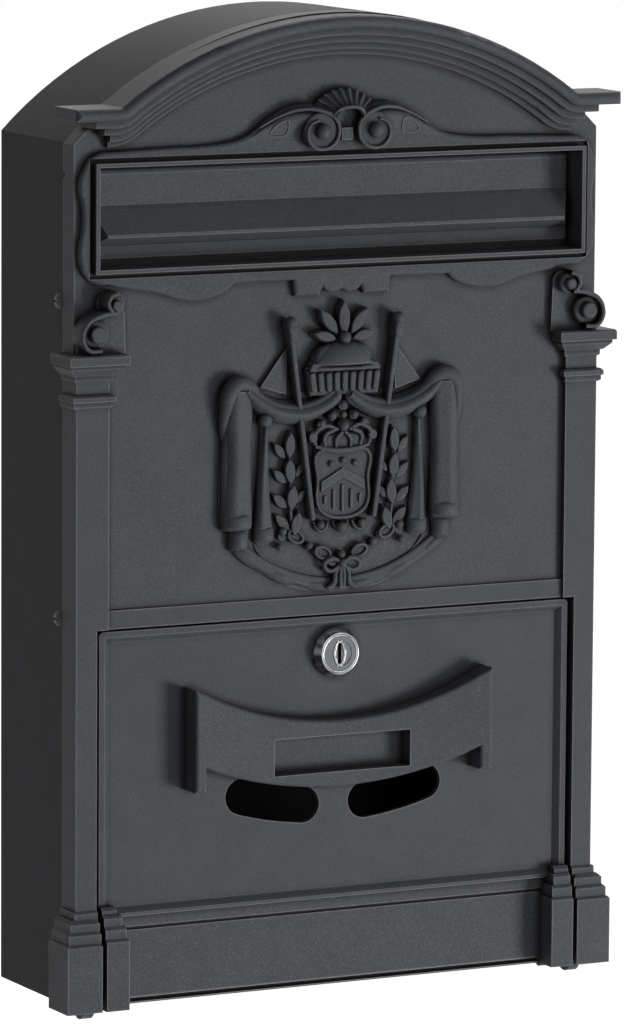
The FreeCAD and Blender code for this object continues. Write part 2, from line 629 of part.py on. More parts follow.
relief("coronet_pearls", 4.8, 0.9, [disc(0, 78.4, 2.3), disc(0, 70.2, 2.6)]
       + twin(disc(5.0, 74.4, 2.2), disc(10.0, 70.6, 2.2), disc(14.0, 65.6, 2.2)))
relief("branches", 4.4, 0.7, twin(
    leaf(22.6, 25.0, 105, 10.0, 4.6), leaf(23.8, 35.6, 96, 10.5, 4.8),
    leaf(24.0, 46.6, 86, 10.5, 4.8), leaf(24.8, 57.6, 94, 10.5, 4.6)))
relief("side_leaves", 3.4, 0.6, twin(
    leaf(24.0, 27.0, 46, 9.5, 4.2), leaf(25.4, 36.6, 42, 8.6, 4.0), leaf(25.8, 47.0, 44, 8.0, 3.8),
    leaf(26.4, 57.4, 52, 8.0, 3.6), leaf(21.6, 38.4, 132, 7.0, 3.2),
    leaf(21.6, 49.4, 128, 7.0, 3.2)))
relief("garland", 2.9, 0.5, twin(rod(18.4, 23.0, 23.8, 26.0, 3.4), rod(6.0, 15.6, 11.4, 17.8, 3.4),
                                 disc(15.0, 20.0, 1.7), disc(27.4, 24.6, 2.0),
                                 disc(9.6, 28.6, 1.9)) + [disc(0, 27.4, 2.4), disc(0, 15.4, 1.9)])
relief("bow", 3.8, 0.7, twin(leaf(0.9, 11.6, 20, 7.6, 4.2), leaf(1.3, 10.0, -52, 9.4, 3.4))
       + [disc(0, 12.0, 1.9)])

# Drilled after casting: the flap's rod, the side screws and the door's pins.
drillings = form("drillings")
rod_place = (f"Sizes.flap_axis_depth - {panel}", "Sizes.flap_axis_height")
drill_reach = "(Sizes.panel_half + 10)"
for name, places, radius, reach in (
        ("rod_drilling", [rod_place], "Sizes.rod_radius + Sizes.rod_seat_clearance", drill_reach),
        ("screw_drilling", [("-Sizes.side_screw_forward", f"Sizes.side_screw_{name}")
                            for name in ("upper", "lower")],
         "Sizes.side_screw_radius + Sizes.thread_clearance", drill_reach),
        ("pin_drilling", [hinge_place], "Sizes.pin_radius + Sizes.pin_seat_clearance",
         lug_out)):
    drilling = side_sketch(drillings, name, f"-{reach}")
    for place in places:
        add_circle(drilling, *place, radius)
    pad(drillings, drilling, f"2 * {reach}")

cast_together("front_casting", [front_panel, cornice, pilasters, surround, ornaments],
              crest_forms, drillings)

# Letter flap
flap = new_body("letter_flap")
flap_half = size("slot_half") - size("flap_gap")
face = -size("panel_depth") + size("flap_face_depth")
flap_back = face + size("flap_wall")
axis_y = -size("panel_depth") + size("flap_axis_depth")
axis_z = size("flap_axis_height")
profile = side_sketch(flap, "flap_profile", f"-{flap_half}")
add_outline(profile, (face, size("flap_low")), (flap_back, size("flap_low")), (flap_back, axis_z),
            (face, axis_z))
pad(flap, profile, f"2 * {flap_half}")
lip_y = -size("panel_depth") - size("lip_level")
wedge = side_sketch(flap, "flap_wedge", f"-{flap_half}")
add_outline(wedge, (face + 1, size("wedge_high")), (face, size("wedge_high")),
            (lip_y, size("lip_high")), (lip_y, size("lip_low")), (face, size("wedge_low")),
            (face + 1, size("wedge_low")))
pad(flap, wedge, f"2 * {flap_half}")
trim = new_sketch(flap, "flap_trim", "XY_Plane", f"{size('wedge_low') - 2}")
for side in (-1, 1):
    add_outline(trim, (side * flap_half, face), (side * size("lip_half"), lip_y - 2),
                (side * (flap_half + 2), lip_y - 2), (side * (flap_half + 2), face))
pocket(flap, trim, f"{size('wedge_high') - size('wedge_low') + 4}", forward=True)
barrel = side_sketch(flap, "flap_barrel", f"-{flap_half}")
add_circle(barrel, *rod_place, "Sizes.flap_barrel_radius")
pad(flap, barrel, f"2 * {flap_half}")
bore = side_sketch(flap, "flap_bore", f"{flap_half}")
add_circle(bore, *rod_place, "Sizes.rod_radius + Sizes.rod_clearance")
pocket(flap, bore, f"2 * {flap_half}")

rod = new_body("flap_hinge_rod")
rod_half = "(Sizes.slot_half + Sizes.collar_wall + Sizes.rod_reach)"
rod_sketch = side_sketch(rod, "rod_section", f"-{rod_half}")
add_circle(rod_sketch, *rod_place, "Sizes.rod_radius")
pad(rod, rod_sketch, f"2 * {rod_half}")

for side in (-1, 1):
    tag = "left" if side < 0 else "right"
    clip = new_body(f"rod_clip_{tag}")
    start = "(Sizes.slot_half + Sizes.collar_wall + 0.3)"
    disc = side_sketch(clip, f"clip_{tag}", f"{side} * {start}")
    add_circle(disc, *rod_place, "Sizes.clip_radius")
    add_circle(disc, *rod_place, "Sizes.rod_radius + Sizes.rod_seat_clearance")
    pad(clip, disc, "Sizes.clip_wall", backward=side < 0)

# Sheet body
shell_half = size("panel_half") - size("sheet_setback")
shell_length = f"{panel} - Sizes.flange_depth - Sizes.seam_gap"


def roof_outline(half, low, top):
    """The sheet body's section: straight sides and a segmental roof."""
    radius = size("roof_radius") - (size("roof_top") - top)
    eaves = roof_centre + math.sqrt(radius**2 - half**2)
    return [(-half, low), (half, low), (half, eaves), (0, top, -half, eaves)]


shell = new_body("body_shell")
wall = size("sheet_wall")
section = front_sketch(shell, "shell_section", "0")
add_outline(section, *roof_outline(shell_half, size("shell_base"), size("roof_top")))
pad(shell, section, shell_length)
inside = front_sketch(shell, "shell_inside", "0")
add_outline(inside, *roof_outline(shell_half - wall, size("shell_base") - 1,
                                  size("roof_top") - wall))
pocket(shell, inside, shell_length, forward=True)
shell_holes = side_sketch(shell, "shell_screw_holes", "Sizes.panel_half")
for name in ("upper", "lower"):
    add_circle(shell_holes, "-Sizes.side_screw_forward", f"Sizes.side_screw_{name}",
               "Sizes.side_screw_hole")
pocket(shell, shell_holes, "2 * Sizes.panel_half")

# Back plate: a flat sheet inside the body, with two folded tabs welded to each of its sides.
tab_out = "(Sizes.panel_half - Sizes.sheet_setback - Sizes.sheet_wall)"
plate_gap = 0.15
back = new_body("back_plate")
sheet = front_sketch(back, "back_sheet", "0")
add_outline(sheet, *roof_outline(shell_half - wall - plate_gap, size("shell_base") + 0.3,
                                 size("roof_top") - wall - plate_gap))
pad(back, sheet, "Sizes.plate_wall")
for height in ("back_tab_low", "back_tab_high"):
    twin_blocks(back, height, (f"{tab_out} - Sizes.plate_wall", tab_out, f"Sizes.{height} - 9",
                               f"Sizes.{height} + 9"), "0", "Sizes.tab_depth")
mount_holes = front_sketch(back, "mount_holes", "Sizes.plate_wall")
for across in (-1, 1):
    for up in (-1, 1):
        add_circle(mount_holes, f"{across} * Sizes.hole_spacing_x / 2",
                   f"Sizes.mount_height + {up} * Sizes.hole_spacing_z / 2", "Sizes.hole_radius")
pocket(back, mount_holes, "Sizes.plate_wall")

# Bottom plate: a folded tray, welded between the sides, that closes the body behind the door.
bottom = new_body("bottom_plate")
floor_low = "(Sizes.shell_base + 0.2)"
block(bottom, "tray", (f"-{tab_out}", tab_out, floor_low, f"{floor_low} + Sizes.tab_depth"),
      "Sizes.plate_wall", f"{shell_length} - 0.4")
cut = front_sketch(bottom, "tray_inside", "0")
add_rectangle(cut, f"-{tab_out} + Sizes.plate_wall", f"{tab_out} - Sizes.plate_wall",
              f"{floor_low} + Sizes.plate_wall", "100")
pocket(bottom, cut, "100", forward=True)

# Lower door
door = new_body("lower_door")
door_half = f"({opening_half} - 0.2 - Sizes.door_gap)"
door_high = "(Sizes.opening_high + 0.7 - Sizes.door_gap)"
door_back = f"{panel} - Sizes.door_depth"
front = level("door_level")
slab = block(door, "door_outline", (f"-{door_half}", door_half, "0", door_high), door_back, front)
top_z = value_of(door_high)
side_x = value_of(door_half)
slab = round_edges(door, slab, "door_corners", "2",
                   lambda spot: near(spot.z, top_z) and near(abs(spot.x), side_x))
hollow = front_sketch(door, "door_hollow", door_back)
add_rectangle(hollow, f"-{door_half} + Sizes.cast_wall", f"{door_half} - Sizes.cast_wall",
              "Sizes.cast_wall", f"{door_high} - Sizes.cast_wall")
door_floor = level("door_floor_level")
pocket(door, hollow, f"{door_floor} - Sizes.cast_wall - ({door_back})", forward=True)
recess = front_sketch(door, "door_recess", door_floor)
add_rectangle(recess, f"-{door_half} + Sizes.strip_width", f"{door_half} - Sizes.strip_width",
              "Sizes.recess_low", f"{door_high} - Sizes.strip_width")
sunk = pocket(door, recess, "20", forward=True)
rim_y = -value_of(front)
round_edges(door, sunk, "recess_bevel", "Sizes.strip_bevel",
            lambda spot: near(spot.y, rim_y) and abs(spot.x) < side_x - 3
            and value_of("recess_low") - 0.1 < spot.z < top_z - 3, "Chamfer")
fascia = front_sketch(door, "fascia", f"{panel} - Sizes.fascia_level")
add_rectangle(fascia, f"-{door_half} + 1", f"{door_half} - 1", "-1", "Sizes.fascia_low")
pocket(door, fascia, "20", forward=True)
groove = front_sketch(door, "board_groove", f"{panel} - Sizes.fascia_level - Sizes.groove_depth")
add_rectangle(groove, f"-{door_half} + 1", f"{door_half} - 1", "Sizes.groove_low",
              "Sizes.groove_high")
pocket(door, groove, "20", forward=True)
for name, inner, low, high, reach, bevel in (
        ("foot_top", 6.8, 39.6, 42.6, 4.0, 1.2), ("foot_second", 8.2, 34.9, 39.6, 6.0, 1.1),
        ("foot_third", 9.5, 29.8, 34.9, 7.5, 1.0), ("foot_block", 10.4, 0, 29.8, 8.9, 0.8)):
    moulding(door, name, (f"{door_half} - {inner}", door_half, str(low), str(high)),
             f"{panel} - 6", f"{panel} + {reach}", str(bevel), True, around=False)

# Handle: a bow with two legs, higher at its ends, with a window for a name card.
half = size("handle_half")
leg = half - size("leg_width")
top_circle = size("handle_top_middle") + size("handle_top_radius")
low_circle = size("handle_low_middle") + size("handle_low_radius")


def on_bow(x, centre, radius):
    return centre - math.sqrt(radius**2 - x**2)


bow_in = half - size("leg_width") + 0.01
top_end = on_bow(bow_in, top_circle, size("handle_top_radius"))
low_end = on_bow(leg, low_circle, size("handle_low_radius"))
handle = front_sketch(door, "handle", f"{panel} - 3")
add_outline(handle, (0, size("handle_low_middle")), *mirrored_halves([
    (0, size("handle_low_middle")),
    (leg / 2, on_bow(leg / 2, low_circle, size("handle_low_radius")), leg, low_end),
    (leg, size("handle_low")), (half, size("handle_low")), (half, size("handle_high")),
    (bow_in, top_end),
    (bow_in / 2, on_bow(bow_in / 2, top_circle, size("handle_top_radius")),
     0, size("handle_top_middle"))])[1:])
bow = pad(door, handle, "3 + Sizes.handle_level")
dish = new_sketch(door, "handle_dish", "XY_Plane", "Sizes.handle_low_middle - 4")
middle_y = -value_of(level("handle_middle_level"))
sag = size("handle_level") - size("handle_middle_level")
dish_radius = (half**2 + sag**2) / (2 * sag)
dish_end = half + 3
end_y = middle_y - dish_radius + math.sqrt(dish_radius**2 - dish_end**2)
add_outline(dish, (-dish_end, end_y - 6), (dish_end, end_y - 6), (dish_end, end_y),
            (0, middle_y, -dish_end, end_y))
bow = pocket(door, dish, "Sizes.handle_high - Sizes.handle_low_middle + 8", forward=True)
round_edges(door, bow, "handle_edge", "Sizes.handle_round",
            lambda spot: spot.y < middle_y + 0.1 and abs(spot.x) <= half + 0.01
            and size("handle_low") - 4 < spot.z < size("handle_high") + 1)
window = front_sketch(door, "name_window", f"{panel} + Sizes.door_floor_level + 0.4")
add_rectangle(window, "-Sizes.window_half", "Sizes.window_half", "Sizes.window_low",
              "Sizes.window_high")
pocket(door, window, "20", forward=True)

# View slots, which follow the handle's lower edge.
for side in (-1, 1):
    tag = "left" if side < 0 else "right"
    reach = size("view_half_height")
    radius = size("view_radius")
    centre_z = size("view_centre")

    def on_arc(angle, distance):
        return side * distance * math.sin(angle), centre_z - distance * math.cos(angle)

    near_angle = math.asin(size("view_near") / radius)
    far_angle = math.asin(size("view_far") / radius)
    cap = reach / radius
    middle_angle = (near_angle + far_angle) / 2
    view = front_sketch(door, f"view_slot_{tag}", f"{panel} - 20")
    add_outline(view, on_arc(near_angle, radius + reach),
                (*on_arc(middle_angle, radius + reach), *on_arc(far_angle, radius + reach)),
                (*on_arc(far_angle + cap, radius), *on_arc(far_angle, radius - reach)),
                (*on_arc(middle_angle, radius - reach), *on_arc(near_angle, radius - reach)),
                (*on_arc(near_angle - cap, radius), *on_arc(near_angle, radius + reach)))
    pocket(door, view, "20 + Sizes.door_floor_level + 0.6", forward=True)

lock_hole = front_sketch(door, "lock_hole", f"{panel} - 10")
add_circle(lock_hole, "0", lock_height, "Sizes.barrel_radius + Sizes.barrel_clearance")
pocket(door, lock_hole, "20", forward=True)
for side in (-1, 1):
    tag = "left" if side < 0 else "right"
    knuckle = side_sketch(door, f"knuckle_{tag}", f"{side} * {door_half}")
    add_circle(knuckle, *hinge_place, "Sizes.knuckle_radius")
    pad(door, knuckle, "Sizes.knuckle_length", backward=side > 0)
door_bores = side_sketch(door, "door_pin_bores", door_half)
add_circle(door_bores, *hinge_place, "Sizes.pin_radius + Sizes.pin_clearance")
pocket(door, door_bores, f"2 * {door_half}")

for side in (-1, 1):
    pin = new_body("door_hinge_pin_" + ("left" if side < 0 else "right"))
    section = side_sketch(pin, pin.Label + "_section", f"{side} * {lug_out}")
    add_circle(section, *hinge_place, "Sizes.pin_radius")
    pad(pin, section, f"{lug_out} - {door_half} + Sizes.knuckle_length", backward=side > 0)

# Cam lock
lock_floor = f"({door_floor})"
lock_centre = ("0", lock_height)
barrel_back = f"({lock_floor} - Sizes.barrel_length)"
barrel_body = new_body("lock_barrel")
tube = front_sketch(barrel_body, "barrel_tube", barrel_back)
add_circle(tube, *lock_centre, "Sizes.barrel_radius")
pad(barrel_body, tube, "Sizes.barrel_length + 0.02")
collar = front_sketch(barrel_body, "lock_collar", f"{lock_floor} + 0.02")
add_circle(collar, *lock_centre, "Sizes.head_radius")
pad(barrel_body, collar, "Sizes.head_wall - 0.02")
bezel_outer = front_sketch(barrel_body, "bezel_foot", f"{lock_floor} + Sizes.head_wall")
add_circle(bezel_outer, *lock_centre, "Sizes.head_radius")
bezel_inner = front_sketch(barrel_body, "bezel_top", f"{lock_floor} + Sizes.head_length")
add_circle(bezel_inner, *lock_centre, "Sizes.head_front_radius")
bezel = barrel_body.newObject("PartDesign::AdditiveLoft", "bezel")
bezel.Profile = bezel_outer
bezel.Sections = [bezel_inner]
bore = front_sketch(barrel_body, "plug_bore", barrel_back)
add_circle(bore, *lock_centre, "Sizes.plug_radius + Sizes.plug_clearance")
pocket(barrel_body, bore, "Sizes.barrel_length + Sizes.head_length", forward=True)

plug = new_body("lock_plug")
core = front_sketch(plug, "plug_core", barrel_back)
add_circle(core, *lock_centre, "Sizes.plug_radius")
pad(plug, core, "Sizes.barrel_length + Sizes.head_length - Sizes.plug_recess")
drive = "Sizes.drive_side / 2"
block(plug, "plug_drive", (f"-{drive}", drive, f"{lock_height} - {drive}",
                           f"{lock_height} + {drive}"),
      f"{barrel_back} - Sizes.drive_length", barrel_back)
keyway = front_sketch(plug, "keyway", f"{lock_floor} + Sizes.head_length")
add_rectangle(keyway, "-Sizes.key_width / 2", "Sizes.key_width / 2",
              f"{lock_height} - Sizes.key_height / 2",
              f"{lock_height} + Sizes.key_height / 2")
pocket(plug, keyway, "Sizes.key_depth")
screw_bore = front_sketch(plug, "plug_screw_bore", f"{barrel_back} - Sizes.drive_length")
add_circle(screw_bore, *lock_centre, "Sizes.cam_screw_radius + Sizes.thread_clearance")
pocket(plug, screw_bore, "Sizes.cam_screw_length", forward=True)

washer = new_body("lock_washer")
washer_back = f"({lock_floor} - Sizes.cast_wall - Sizes.washer_wall)"
ring = front_sketch(washer, "washer_ring", washer_back)
add_circle(ring, *lock_centre, "Sizes.washer_radius")
add_circle(ring, *lock_centre, "Sizes.barrel_radius + Sizes.barrel_clearance")
pad(washer, ring, "Sizes.washer_wall")

nut = new_body("lock_nut")
nut_sketch = front_sketch(nut, "nut_hexagon", f"{washer_back} - Sizes.nut_wall")
corner = size("nut_flats") / math.sqrt(3)
corners = [(corner * math.sin(turn), value_of(lock_height) + corner * math.cos(turn))
           for turn in (math.radians(60 * index) for index in range(6))]
add_outline(nut_sketch, corners[0], *corners[1:])
add_circle(nut_sketch, *lock_centre, "Sizes.barrel_radius + Sizes.thread_clearance")
pad(nut, nut_sketch, "Sizes.nut_wall")

# The cam points sideways while the lock is open, and is cranked so that its tip can turn up
# close behind the lip over the opening.
cam = new_body("lock_cam")
cam_front = f"({barrel_back} - 0.1)"
cam_tip_front = f"({lip_back} - Sizes.cam_play)"
cam_profile = new_sketch(cam, "cam_profile", "XY_Plane", f"{lock_height} - Sizes.cam_half")
root_y = -value_of(cam_front)
tip_y = -value_of(cam_tip_front)
thick = size("cam_wall")
cam_end = -size("cam_half")
cam_tip = size("cam_reach")
bend_x = size("washer_radius") + 1.2
add_outline(cam_profile, (cam_end, root_y), (bend_x, root_y), (bend_x + 1.6, tip_y),
            (cam_tip, tip_y), (cam_tip, tip_y + thick), (bend_x + 2.2, tip_y + thick),
            (bend_x + 0.6, root_y + thick), (cam_end, root_y + thick))
strap = pad(cam, cam_profile, "2 * Sizes.cam_half")
round_edges(cam, strap, "cam_corners", "Sizes.cam_half / 2",
            lambda spot: near(abs(spot.z - value_of(lock_height)), size("cam_half"))
            and (near(spot.x, cam_end) or near(spot.x, cam_tip)))
square = front_sketch(cam, "cam_square", f"{cam_front} - 4")
drive_hole = f"({drive} + Sizes.drive_clearance)"
add_rectangle(square, f"-{drive_hole}", drive_hole, f"{lock_height} - {drive_hole}",
              f"{lock_height} + {drive_hole}")
pocket(cam, square, "4", forward=True)

cam_washer = new_body("cam_washer")
cam_back = f"({cam_front} - Sizes.cam_wall - 0.02)"
ring = front_sketch(cam_washer, "cam_washer_ring", f"{cam_back} - Sizes.washer_wall")
add_circle(ring, *lock_centre, "Sizes.cam_washer_radius")
add_circle(ring, *lock_centre, "Sizes.cam_screw_radius + Sizes.thread_clearance")
pad(cam_washer, ring, "Sizes.washer_wall")

cam_screw = new_body("cam_screw")
head_front = f"({cam_back} - Sizes.washer_wall - 0.02)"
head = front_sketch(cam_screw, "cam_screw_head", f"{head_front} - Sizes.cam_screw_head_wall")
add_circle(head, *lock_centre, "Sizes.cam_screw_head")
pad(cam_screw, head, "Sizes.cam_screw_head_wall")
shank = front_sketch(cam_screw, "cam_screw_shank", head_front)
add_circle(shank, *lock_centre, "Sizes.cam_screw_radius")
pad(cam_screw, shank, "Sizes.cam_screw_length + 0.6")
drive_slot = front_sketch(cam_screw, "cam_screw_slot", f"{head_front} - 3")
add_rectangle(drive_slot, "-4", "4", f"{lock_height} - 0.5", f"{lock_height} + 0.5")
pocket(cam_screw, drive_slot, "1.8", forward=True)

# Side screws
screws = new_body("side_screws")
screw_in = value_of(f"{tab_out} - Sizes.ear_gap - Sizes.side_screw_length")
screw_seat = shell_half + 0.02
screw_end = screw_seat + size("side_screw_head_wall")
thread = size("side_screw_radius")
dome = size("side_screw_head")
screw_axis = -size("side_screw_forward")
for name in ("upper", "lower"):
    turned = new_sketch(screws, f"screws_{name}", "XY_Plane", f"Sizes.side_screw_{name}")
    for side in (-1, 1):
        add_outline(turned, (side * screw_in, screw_axis), (side * screw_in, screw_axis - thread),
                    (side * screw_seat, screw_axis - thread),
                    (side * screw_seat, screw_axis - dome),
                    (side * (screw_end - 0.5), screw_axis - dome * 0.72,
                     side * screw_end, screw_axis))
    turned.addGeometry(Part.LineSegment(point(-screw_in, screw_axis),
                                        point(screw_in, screw_axis)), True)
    revolved = screws.newObject("PartDesign::Revolution", f"screws_{name}_turned")
    revolved.Profile = turned
    revolved.ReferenceAxis = (turned, ["Axis0"])
    revolved.Angle = 360
    turned.Visibility = False
for side in (-1, 1):
    slots = side_sketch(screws, "slots_left" if side < 0 else "slots_right",
                        f"{side * (screw_end - 0.8):.3f}")
    for name in ("upper", "lower"):
        add_rectangle(slots, "-Sizes.side_screw_forward - 2.4", "-Sizes.side_screw_forward + 2.4",
                      f"Sizes.side_screw_{name} - 0.45", f"Sizes.side_screw_{name} + 0.45")
    pocket(screws, slots, "3", forward=side > 0)

# Check and export
doc.recompute()
failed = [item.Name for item in doc.Objects
          if "Invalid" in item.State or "Error" in item.State]
if failed:
    raise RuntimeError(f"features that failed: {failed}")
os.makedirs("parts", exist_ok=True)
for node in nodes:
    if node.Shape.isNull() or not node.Shape.isValid():
        raise RuntimeError(f"{node.Label} has no valid shape")
    node.Shape.exportStep(f"parts/{node.Label}.step")
    print(f"{node.Label}: {len(node.Shape.Solids)} solid, {node.Shape.Volume:.0f} mm3")
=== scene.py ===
import bpy
import json
import math
from mathutils import Vector, Matrix


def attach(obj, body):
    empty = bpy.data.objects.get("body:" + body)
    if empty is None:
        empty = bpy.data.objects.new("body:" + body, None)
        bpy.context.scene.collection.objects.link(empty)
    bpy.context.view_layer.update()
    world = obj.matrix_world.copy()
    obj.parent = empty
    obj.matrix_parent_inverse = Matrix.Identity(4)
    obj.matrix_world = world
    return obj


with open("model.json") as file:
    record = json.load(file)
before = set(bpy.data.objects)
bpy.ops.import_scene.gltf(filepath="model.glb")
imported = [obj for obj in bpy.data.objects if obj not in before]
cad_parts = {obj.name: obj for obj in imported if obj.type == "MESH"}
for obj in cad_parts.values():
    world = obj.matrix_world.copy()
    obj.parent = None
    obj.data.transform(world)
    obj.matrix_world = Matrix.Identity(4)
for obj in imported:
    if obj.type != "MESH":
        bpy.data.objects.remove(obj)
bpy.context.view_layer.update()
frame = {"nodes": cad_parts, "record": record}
scene = bpy.context.scene

# shared surface effects


def newGroup(name, inputs, outputs):
    group = bpy.data.node_groups.new(name, "ShaderNodeTree")
    for label, kind, value in inputs:
        socket = group.interface.new_socket(name=label, in_out="INPUT", socket_type=kind)
        if value is not None:
            socket.default_value = value
    for label, kind in outputs:
        group.interface.new_socket(name=label, in_out="OUTPUT", socket_type=kind)
    start = group.nodes.new("NodeGroupInput")
    end = group.nodes.new("NodeGroupOutput")
    start.location = (-900, 0)
    end.location = (700, 0)
    return group, start, end


def addNode(tree, kind, place, **settings):
    node = tree.nodes.new(kind)
    node.location = place
    for key, value in settings.items():
        setattr(node, key, value)
    return node


grainRange = {"speckStart": 0.53, "speckFull": 0.75, "cloudStart": 0.3, "cloudFull": 0.7,
              "dull": 0.86, "bright": 1.7}


def buildPaintGrain():
    # orange-peel and grit of a powder coat: height for bump, mask for colour and roughness
    group, start, end = newGroup(
        "paintGrain",
        [("Vector", "NodeSocketVector", None), ("Fine Scale", "NodeSocketFloat", 2600.0),
         ("Coarse Scale", "NodeSocketFloat", 900.0), ("Mottle Scale", "NodeSocketFloat", 60.0)],
        [("Height", "NodeSocketFloat"), ("Speckle", "NodeSocketFloat"),
         ("Mottle", "NodeSocketFloat")])
    link = group.links.new
    fine = addNode(group, "ShaderNodeTexNoise", (-600, 200), noise_dimensions="3D")
    fine.inputs["Detail"].default_value = 3.0
    coarse = addNode(group, "ShaderNodeTexNoise", (-600, -50), noise_dimensions="3D")
    coarse.inputs["Detail"].default_value = 2.0
    mottle = addNode(group, "ShaderNodeTexNoise", (-600, -300), noise_dimensions="3D")
    mottle.inputs["Detail"].default_value = 4.0
    for texture, scale in ((fine, "Fine Scale"), (coarse, "Coarse Scale"), (mottle, "Mottle Scale")):
        link(start.outputs["Vector"], texture.inputs["Vector"])
        link(start.outputs[scale], texture.inputs["Scale"])
    total = addNode(group, "ShaderNodeMath", (-250, 150), operation="MULTIPLY_ADD")
    total.inputs[1].default_value = 0.6
    link(coarse.outputs["Fac"], total.inputs[0])
    link(fine.outputs["Fac"], total.inputs[2])
    speck = addNode(group, "ShaderNodeMapRange", (-250, -100))
    speck.inputs["From Min"].default_value = grainRange["speckStart"]
    speck.inputs["From Max"].default_value = grainRange["speckFull"]
    link(coarse.outputs["Fac"], speck.inputs["Value"])
    cloud = addNode(group, "ShaderNodeMapRange", (-250, -350))
    cloud.inputs["From Min"].default_value = grainRange["cloudStart"]
    cloud.inputs["From Max"].default_value = grainRange["cloudFull"]
    link(mottle.outputs["Fac"], cloud.inputs["Value"])
    link(total.outputs[0], end.inputs["Height"])
    link(speck.outputs[0], end.inputs["Speckle"])
    link(cloud.outputs[0], end.inputs["Mottle"])
    return group


# the painted highlight on outer edges and the painted shade in hollows and inner corners: where each
# starts and is full, the share of the highlight and how dark the shade is
highlightShadeRange = {"edgeStart": 0.985, "edgeFull": 0.80, "hollowStart": 0.95, "hollowFull": 0.52,
             "edgeShare": 0.9, "hollowShade": 0.16}


def buildEdgeHighlightAndShade():
    # painted highlight on outer edges and painted shade in inner corners and hollows, found from
    # rounded normals and nearby walls
    group, start, end = newGroup(
        "edgeHighlightAndShade",
        [("Edge Width", "NodeSocketFloat", 0.0009), ("Corner Reach", "NodeSocketFloat", 0.0035)],
        [("Edge", "NodeSocketFloat"), ("Hollow", "NodeSocketFloat")])
    link = group.links.new
    shape = addNode(group, "ShaderNodeNewGeometry", (-700, 200))
    rounded = addNode(group, "ShaderNodeBevel", (-700, 0), samples=3)
    link(start.outputs["Edge Width"], rounded.inputs["Radius"])
    turned = addNode(group, "ShaderNodeVectorMath", (-450, 100), operation="DOT_PRODUCT")
    link(shape.outputs["Normal"], turned.inputs[0])
    link(rounded.outputs["Normal"], turned.inputs[1])
    edge = addNode(group, "ShaderNodeMapRange", (-200, 150))
    edge.inputs["From Min"].default_value = highlightShadeRange["edgeStart"]
    edge.inputs["From Max"].default_value = highlightShadeRange["edgeFull"]
    link(turned.outputs["Value"], edge.inputs["Value"])
    walls = addNode(group, "ShaderNodeAmbientOcclusion", (-700, -200), samples=4)
    link(start.outputs["Corner Reach"], walls.inputs["Distance"])
    hollow = addNode(group, "ShaderNodeMapRange", (-200, -150))
    hollow.inputs["From Min"].default_value = highlightShadeRange["hollowStart"]
    hollow.inputs["From Max"].default_value = highlightShadeRange["hollowFull"]
    link(walls.outputs["AO"], hollow.inputs["Value"])
    outer = addNode(group, "ShaderNodeMath", (100, 150), operation="SUBTRACT", use_clamp=True)
    link(edge.outputs[0], outer.inputs[0])
    link(hollow.outputs[0], outer.inputs[1])
    link(outer.outputs[0], end.inputs["Edge"])
    link(hollow.outputs[0], end.inputs["Hollow"])
    return group


paintGrain = buildPaintGrain()
edgeHighlightAndShade = buildEdgeHighlightAndShade()
print("shared effects ready")

# materials

# edge is the colour of the painted highlight along outer edges
paintLook = {"colour": (0.056, 0.0595, 0.065), "edge": (0.23, 0.234, 0.243),
             "roughness": 0.5, "gloss": 0.12, "bump": 0.5, "fine": 2600.0, "coarse": 1900.0}
sheetLook = {"colour": (0.03, 0.0305, 0.0355), "edge": (0.09, 0.092, 0.10),
             "roughness": 0.55, "gloss": 0.07, "bump": 0.4, "fine": 2800.0, "coarse": 2100.0}
screwLook = {"colour": (0.02, 0.02, 0.021), "edge": (0.08, 0.08, 0.082),
             "roughness": 0.4, "gloss": 0.3, "bump": 0.1, "fine": 4000.0, "coarse": 2000.0}
zincLook = {"colour": (0.62, 0.63, 0.65), "dull": 0.88, "roughness": 0.32, "brush": 900.0}


def newMaterial(name):
    material = bpy.data.materials.new(name)
    material.use_nodes = True
    tree = material.node_tree
    tree.nodes.clear()
    output = addNode(tree, "ShaderNodeOutputMaterial", (900, 0))
    shader = addNode(tree, "ShaderNodeBsdfPrincipled", (600, 0))
    tree.links.new(shader.outputs[0], output.inputs["Surface"])
    return material, tree, shader


def shade(colour, share):
    return tuple(part * share for part in colour)


def mixColour(tree, place, first, second):
    mix = addNode(tree, "ShaderNodeMix", place, data_type="RGBA")
    mix.inputs[6].default_value = (*first, 1.0) if first else (0, 0, 0, 1)
    mix.inputs[7].default_value = (*second, 1.0)
    return mix


